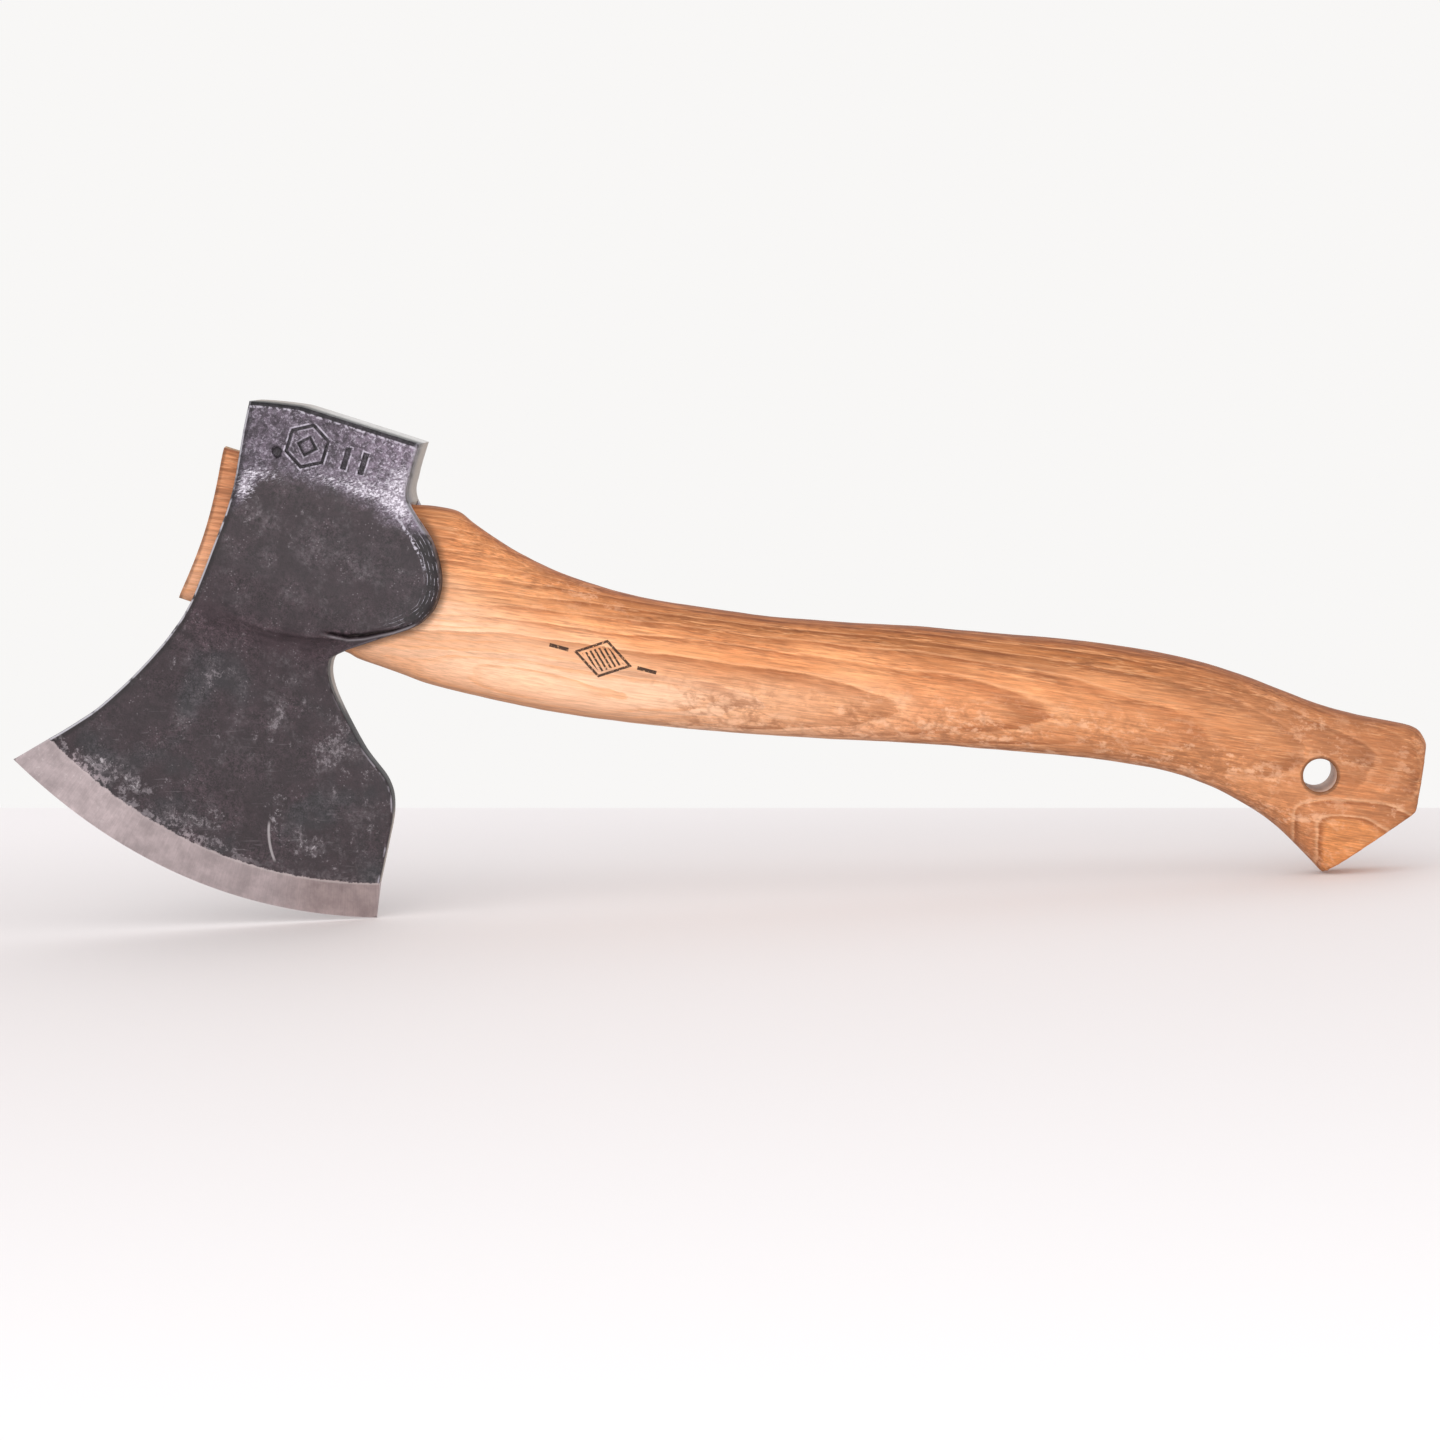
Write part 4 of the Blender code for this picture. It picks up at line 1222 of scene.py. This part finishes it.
def wood_zones(g, s):
    """Paler low down near the head and darker along the top: sapwood and heartwood, and in part painted light
    from below and painted shade on top.
    """
    # The pale and dark zones follow the height across the handle, so besides the wood's own tones they carry
    # painted light underneath and painted shade on top.
    place = s.across + (s.blotch - 0.5) * 0.3
    s.pale = g.band(place + g.band(s.along, 120, 80, 0, 0.09), 0.36, 0.7)
    s.pale = s.pale * g.band(s.along, 200, 110, 0.12, 1)
    s.dark = g.band(place + g.band(s.along, 185, 150, 0, 0.13), 0.44, 0.14)
    s.dark = s.dark * g.band(s.along, 70, 130, 0.45, 1)
    s.dark = s.dark * g.band(s.along, 290, 225, 0.45, 1)
    g.colour = g.blend(g.band(s.blotch, 0.3, 0.7), TAN_DARK, TAN_PALE)
    pale_share = s.pale * g.band(s.tone, 0.15, 0.6, 0.62, 1.05)
    g.paint(g.limit(pale_share), SAPWOOD_AND_LIGHT)
    g.paint(s.dark * 0.8, HEARTWOOD_AND_SHADE)
    middle = g.between(s.along, 190, 220, 250, 290) * g.band(s.across, 0.34, 0.5)
    g.paint(middle * 0.45, GRIP_BROWN)
    # Painted shade: darker brown along the underside, strongest near the head and at the butt.
    under = g.band(s.across, 0.8, 0.98) * g.band(s.along, 70, 120, 0.55, 0.25)
    under = under * g.band(s.along, 255, 280, 1, 2.4)
    g.paint(under, UNDERSIDE_SHADE_BROWN)
    s.butt = g.band(s.along, 245, 305)
    g.paint(s.butt * 0.8, BUTT_BROWN)
    top_band = g.band(place, 0.42, 0.22) * g.band(s.along, 235, 262)
    top_band = g.math("MAXIMUM", top_band, g.band(s.along, 311, 322) * g.band(place, 0.66, 0.5))
    g.paint(top_band * 0.55, TOP_BROWN)
    knob = g.band(s.loop, 14.2, 12.4) * g.band(s.along, 290, 300)
    g.paint(knob * 0.75, KNOB_AMBER)
    s.tenon = g.band(s.along, -18, -22)
    tenon_tone = g.blend(g.band(s.up, 0, -19), TENON_TOP, TENON_FOOT)
    g.paint(s.tenon * 0.85, tenon_tone)


def grain(g, s):
    """Ring lines, streaks, fibres and pores."""
    g.shade(g.band(s.tone, 0, 1, 0.92, 1.06) * g.lerp(s.phase, 1.05, 0.95))
    share = g.band(g.noise(s.p, (22, 7, 7), 3, 0.6), 0.34, 0.62, 0.14, 0.7)
    share = share * (1.35 - s.pale * 0.65) * g.band(s.along, 48, 86, 0.6, 1)
    share = share * g.lerp(s.in_knob, g.band(s.along, 215, 255, 1, 0.6), 1)
    g.paint(g.limit(s.line * share), RING_SHADE, "MULTIPLY")
    s.late = (
        s.late
        * s.pale
        * g.band(s.along, 190, 130)
        * g.band(g.noise(s.p, (24, 6, 6), 3), 0.36, 0.6, 0.2, 1)
    )
    g.paint(s.late * 0.62, LATE_WOOD)
    s.pale_line = s.pale_line * g.lerp(s.in_knob, g.band(s.along, 225, 250, 0.18, 0.07), 0.38)
    g.paint(s.pale_line, RING_PALE)
    strong = s.dark * 0.6 + (s.tenon * 0.5 + g.lerp(s.pale, 0.45, 0.1))
    strong = strong + g.band(s.along, 85, 50) * g.band(s.across, 0.55, 0.3) * 0.5
    g.paint(g.limit(g.band(s.streak, 0.52, 0.3) * strong * 0.5), STREAK_DARK)
    g.paint(g.limit(g.band(s.streak, 0.52, 0.72) * strong * 0.32), STREAK_PALE)
    g.shade(g.band(s.fine, 0.2, 0.8, 0.78, 1.2) * g.lerp(s.dark, 1, 1.04))
    grainy = g.band(g.noise(s.fibre, (26, 6, 5), 3, 0.6), 0.38, 0.62, 0.35, 1.25)
    grainy = grainy * (1 - s.pale * 0.75)
    dots = g.band(s.dashes, 0.47, 0.34) * (grainy * (s.dark * 0.45 + 0.3))
    g.paint(g.limit(dots), DASH_DARK)
    dots = g.band(s.dashes, 0.55, 0.7) * (grainy * 0.24)
    g.paint(g.limit(dots), DASH_PALE)
    medium = g.noise(s.fibre, (13, 0.85, 0.75), 4, 0.66)
    g.shade(g.lerp(g.limit(grainy), 1, g.band(medium, 0.34, 0.66, 0.8, 1.18)))


def crackled_figure(g, s):
    """Crackled figure low down in the middle, near the top behind the head, and over the knob."""
    warp = g.vector("ADD", s.p, g.join(s.fuzz * 1.6, s.fuzz * 1.2, (1 - s.fuzz) * 1.6))
    stretched = g.vector("MULTIPLY", g.turned(warp, "Y", GRAIN_ANGLE), (0.5, 1, 1))
    s.cracks = g.band(g.cells(stretched, 2.8, "DISTANCE_TO_EDGE"), 0.14, 0.02)
    low_band = g.band(s.across, 0.4, 0.78) * g.between(s.along, 96, 122, 285, 320)
    s.zone = low_band + (g.attribute("crackled") + s.butt * 0.16)
    s.zone = g.limit(s.zone * g.band(g.noise(s.p, (20, 10, 8), 3), 0.38, 0.56, 0.25, 1))
    clump = g.noise(s.p, (5, 2.8, 2.8), 4, 0.62) * 0.65 + s.fuzz * 0.35
    g.paint(g.band(clump, 0.5, 0.6) * s.zone * 0.6, FIGURE_PALE)
    g.paint(g.band(clump, 0.49, 0.4) * s.zone * 0.54, FIGURE_DARK)
    g.paint(s.cracks * s.zone * 0.3, CRACK_BROWN)


def burned_mark(g, s):
    """A burned lozenge with a hatch in it, between two short dashes."""
    turn = g.turned(g.vector("SUBTRACT", s.p, MARK_PLACE), "Y", MARK_ANGLE)
    mark_along, _, mark_up = g.split(turn)
    lozenge = abs(mark_along) * (1 / MARK_HALF[0]) + abs(mark_up) * (1 / MARK_HALF[1])
    outline = g.between(lozenge, 0.84, 0.88, 1, 1.04)
    hatch = g.math("PINGPONG", mark_along + mark_up, MARK_HATCH)
    hatch = g.band(hatch, 0.44, 0.54) * g.band(lozenge, 0.74, 0.7)
    bar = abs(abs(mark_along) - MARK_DASHES)
    bars = g.band(bar, 2.9, 2.7) * g.band(abs(mark_up), 0.6, 0.45)
    near_side = g.band(s.side, -5, -6)
    s.burn = g.limit((outline + hatch + bars) * near_side)
    s.burn = s.burn * g.band(g.noise(s.p, 0.7, 3, 0.6), 0.3, 0.46)
    g.paint(s.burn * 0.93, BURNT)


def painted_shade_and_end_grain(g, s):
    """Painted shade in and round the hanging hole, along the tenon's hollow end, beside the head, on the top
    and along the bottom edge; and darker end grain.
    """
    hole = (s.along - HANG_HOLE[0]) ** 2 + (s.up + HANG_HOLE[1]) ** 2
    hole = g.math("SQRT", hole) + (s.fuzz - 0.5) * 0.8
    # Painted shade inside the hanging hole, and a darker painted ring round its mouth.
    bore = g.band(hole, 5.6, 5) * g.band(abs(s.side), 9.4, 8.6)
    g.paint(bore * 0.8, BORE_SHADE)
    ring = g.band(hole, 5.9, 5.3) * g.band(abs(s.side), 8.6, 9.4)
    g.darken(ring * 0.5)
    # Painted shade along the rim of the tenon's hollow end.
    hollow = (s.along - (TENON_HOLLOW_BOTTOM - TENON_HOLLOW_RADIUS)) ** 2 + s.up * s.up
    hollow = g.math("SQRT", hollow) - TENON_HOLLOW_RADIUS
    rim = (
        g.band(hollow, 1.3, 0.4)
        * g.band(s.along, -20, -24)
        * g.band(g.noise(s.p, 3, 3), 0.35, 0.6, 0.5, 1)
    )
    g.darken(rim * 0.55)
    # Painted contact shadow on the wood right beside the head.
    head_contact_shadow = g.attribute("from_head") + (s.fuzz - 0.5) * 1.2
    head_contact_shadow = g.band(head_contact_shadow, 2.6, 0.3) * g.band(abs(s.side), 4, 7)
    g.darken(head_contact_shadow * 0.52)
    # Painted shade: darker where the surface faces up, and along the bottom edge where it faces down.
    painted_top_shade = g.blend(g.band(s.facing, 0.62, 0.99), NO_SHADE, TOP_SHADE)
    g.colour = g.vector("MULTIPLY", g.colour, painted_top_shade)
    g.shade(g.band(s.facing, -0.55, -0.98, 1, 0.74))
    ends = g.limit(g.band(s.along, 322, 326) + g.band(s.across, 1.04, 1.1))
    g.shade(g.lerp(ends, 1, 0.85))


def wood_surface(g, s):
    """Gloss and relief, and the finished material."""
    rough = g.band(s.streak, 0.3, 0.7, 0.5, 0.58) + s.fuzz * 0.08
    rough = g.lerp(s.burn, rough, 0.75)
    relief = s.streak * 0.02 + s.fine * 0.022
    relief = relief - (s.cracks * s.zone * 0.03 + s.burn * 0.08)
    relief = relief + s.fuzz * 0.045
    return g.finish(g.colour, rough, 0, relief, 0.3)


def hickory():
    g = Graph("hickory_oiled")
    s = SimpleNamespace()
    s.p = g.attribute("design", "Vector")
    s.across = g.attribute("across")
    s.facing = g.attribute("facing_up")
    s.along, s.side, s.up = g.split(s.p)
    s.fibre = g.turned(s.p, "Y", GRAIN_ANGLE)
    s.blotch = g.noise(s.p, (34, 12, 11), 3, 0.55)
    s.fuzz = g.noise(s.p, 1.5, 5, 0.72)
    s.streak = g.noise(s.fibre, (30, 1.1, 1.1), 5, 0.62)
    s.fine = g.noise(s.fibre, (7, 0.36, 0.36), 4, 0.62)
    s.dashes = g.noise(s.fibre, (4.5, 0.42, 0.38), 2, 0.5)
    growth_rings(g, s)
    knob_loops(g, s)
    wood_zones(g, s)
    grain(g, s)
    crackled_figure(g, s)
    burned_mark(g, s)
    painted_shade_and_end_grain(g, s)
    return wood_surface(g, s)


# Colours of the two wedges
WEDGE_DARK = (0.4, 0.22, 0.105)
WEDGE_PALE = (0.6, 0.36, 0.19)
WEDGE_PORE = (0.18, 0.085, 0.04)
PRESSED_DARK = (0.3, 0.29, 0.29)
PRESSED_PALE = (0.5, 0.49, 0.49)
WEDGE_GRAIN_ANGLE = -20.7


def wedge_wood():
    g = Graph("wedge_oiled")
    p = g.position()
    streak = g.noise(g.turned(p, "Y", WEDGE_GRAIN_ANGLE), (9, 0.7, 1.3), 4, 0.6)
    pores = g.band(g.noise(p, (1.2, 0.3, 0.3), 2), 0.58, 0.7)
    colour = g.blend(g.band(streak, 0.3, 0.7), WEDGE_DARK, WEDGE_PALE)
    colour = g.blend(pores * 0.5, colour, WEDGE_PORE)
    return g.finish(colour, g.band(streak, 0.3, 0.7, 0.55, 0.65), 0, streak * 0.05)


def wedge_steel():
    g = Graph("wedge_pressed_steel")
    p = g.position()
    mottle = g.noise(p, 1.6, 5, 0.65)
    colour = g.blend(g.band(mottle, 0.35, 0.65), PRESSED_DARK, PRESSED_PALE)
    return g.finish(colour, g.band(mottle, 0.3, 0.7, 0.32, 0.48), 1, mottle * 0.04)


# ---------------------------------------------------------------- studio

CAMERA_AZIMUTH = math.radians(3.257)
CAMERA_ELEVATION = math.radians(5.221)
CAMERA_ROLL = math.radians(3.213)
CAMERA_DISTANCE = 1.2205
CAMERA_AIM = Vector((0.00241, 0, 0.05247))
CAMERA_LENS = 105.9  # on a sensor of SENSOR_WIDTH
SENSOR_WIDTH = 36
TABLE_END = (Vector((-0.2921, 0.3608, 0)), Vector((0.2224, 0.1379, 0)))  # two points of its far end
TABLE_DROP = 0.0002  # keeps the table just under what stands on it
TABLE_SIZE = 40
TABLE_FRONT = (0.86, 0.845, 0.845)
TABLE_SHADE_NEAR_TOOL = (0.80, 0.755, 0.745)
TABLE_BACK_LIT = (0.90, 0.86, 0.855)
WALL = (0.940, 0.930, 0.920)
FILL = 0.84
FILL_COLOUR = (0.98, 0.98, 1)
LAMPS = (
    # name, place, size, watts, colour
    ("front", (0.05, -1.75, 0.25), 1.2, 13.4, (1, 0.985, 0.965)),
    ("key", (-0.9, -1.2, 1.1), 2, 8, (1, 0.985, 0.965)),
    ("side", (1.2, -1.1, 0.9), 2, 5, (1, 0.985, 0.97)),
    ("back", (0.1, 1, 1.2), 1.2, 2, (0.97, 0.98, 1)),
)


def camera_axes():
    """The picture's right, its up, and the way back to the camera."""
    flat = math.cos(CAMERA_ELEVATION)
    sideways, forwards = math.sin(CAMERA_AZIMUTH) * flat, math.cos(CAMERA_AZIMUTH) * flat
    back = Vector((sideways, -forwards, math.sin(CAMERA_ELEVATION)))
    level = Vector((0, 0, 1)).cross(back).normalized()
    rise = back.cross(level)
    right = level * math.cos(CAMERA_ROLL) - rise * math.sin(CAMERA_ROLL)
    up = level * math.sin(CAMERA_ROLL) + rise * math.cos(CAMERA_ROLL)
    return right, up, back


def make_camera():
    right, up, back = camera_axes()
    data = bpy.data.cameras.new("camera")
    data.sensor_width = SENSOR_WIDTH
    data.lens = CAMERA_LENS
    data.clip_start = 0.01
    camera = bpy.data.objects.new("camera", data)
    turn = Matrix((right, up, back)).transposed().to_4x4()
    camera.matrix_world = Matrix.Translation(CAMERA_AIM + back * CAMERA_DISTANCE) @ turn
    bpy.context.scene.collection.objects.link(camera)
    bpy.context.scene.camera = camera


def pale_table():
    """The table's top, with painted shade round the tool and painted light towards the back, and beyond its
    far end the pale wall.
    """
    first, last = TABLE_END
    direction = (last - first).normalized()
    outwards = Vector((-direction.y, direction.x, 0))
    g = Graph("pale_table")
    place = g.fill(g.node("ShaderNodeNewGeometry"), {}, "Position")
    beyond = g.vector("DOT_PRODUCT", place, tuple(outwards), "Value") - outwards.dot(first)
    _, y, _ = g.split(place)
    # Painted shade: darker near where the tool stands; painted light: lighter towards the back, where the
    # lamps fall off.
    colour = g.blend(g.band(y, -0.05, -0.75), TABLE_SHADE_NEAR_TOOL, TABLE_FRONT)
    colour = g.blend(g.band(y, 0, 0.35), colour, TABLE_BACK_LIT)
    surface = {"Base Color": colour, "Roughness": 0.75, "Specular IOR Level": 0.2}
    table = g.fill(g.shader, surface)
    wall = g.fill(g.node("ShaderNodeEmission"), {"Color": WALL})
    mixed = g.fill(g.node("ShaderNodeMixShader"), {0: g.band(beyond, 0, 0.004), 1: table, 2: wall})
    g.put(g.tree.nodes["Material Output"].inputs["Surface"], mixed)
    return g.material


def make_floor():
    bm = bmesh.new()
    bmesh.ops.create_grid(bm, x_segments=1, y_segments=1, size=TABLE_SIZE)
    floor = from_bmesh("studio_floor", bm)
    floor.location.z = -TABLE_DROP
    floor.data.materials.append(pale_table())


def make_world():
    """The pale wall for the camera, and an even fill light for everything else."""
    world = bpy.data.worlds.new("studio")
    bpy.context.scene.world = world
    world.use_nodes = True
    tree = world.node_tree
    seen = tree.nodes["Background"]
    seen.inputs["Color"].default_value = (*WALL, 1)
    seen.inputs["Strength"].default_value = 1
    fill = tree.nodes.new("ShaderNodeBackground")
    fill.inputs["Color"].default_value = (*FILL_COLOUR, 1)
    fill.inputs["Strength"].default_value = FILL
    path = tree.nodes.new("ShaderNodeLightPath")
    mix = tree.nodes.new("ShaderNodeMixShader")
    tree.links.new(path.outputs["Is Camera Ray"], mix.inputs[0])
    tree.links.new(fill.outputs[0], mix.inputs[1])
    tree.links.new(seen.outputs[0], mix.inputs[2])
    tree.links.new(mix.outputs[0], tree.nodes["World Output"].inputs["Surface"])


def make_lamps():
    for name, place, size, watts, colour in LAMPS:
        data = bpy.data.lights.new(name, "AREA")
        data.shape = "SQUARE"
        data.size = size
        data.energy = watts
        data.color = colour
        lamp = bpy.data.objects.new(name, data)
        lamp.location = place
        lamp.visible_camera = False
        lamp.rotation_euler = (CAMERA_AIM - Vector(place)).to_track_quat("-Z", "Y").to_euler()
        bpy.context.scene.collection.objects.link(lamp)


# ---------------------------------------------------------------- putting it together

HEAD_SHARP = 34  # degrees between faces from which an edge stays sharp
HANDLE_SHARP = 50


def cover(obj, material):
    obj.data.materials.clear()
    obj.data.materials.append(material)


def dress(obj, material, sharp):
    cover(obj, material)
    obj.data.shade_smooth()
    obj.data.set_sharp_from_angle(angle=math.radians(sharp))


def main():
    bpy.context.scene.view_settings.view_transform = "Standard"
    make_camera()
    make_world()
    make_lamps()
    make_floor()

    head = make_head()
    dress(head, forged_steel(), HEAD_SHARP)
    handle = make_handle()
    dress(handle, hickory(), HANDLE_SHARP)
    for piece, node, slot in ((head, "head", "forged_steel"), (handle, "handle", "hickory")):
        piece.data.transform(PLACE)
        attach(piece, "root")
        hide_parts(node)
    cover(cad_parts["wooden_wedge"], wedge_wood())
    cover(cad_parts["steel_wedge"], wedge_steel())


main()
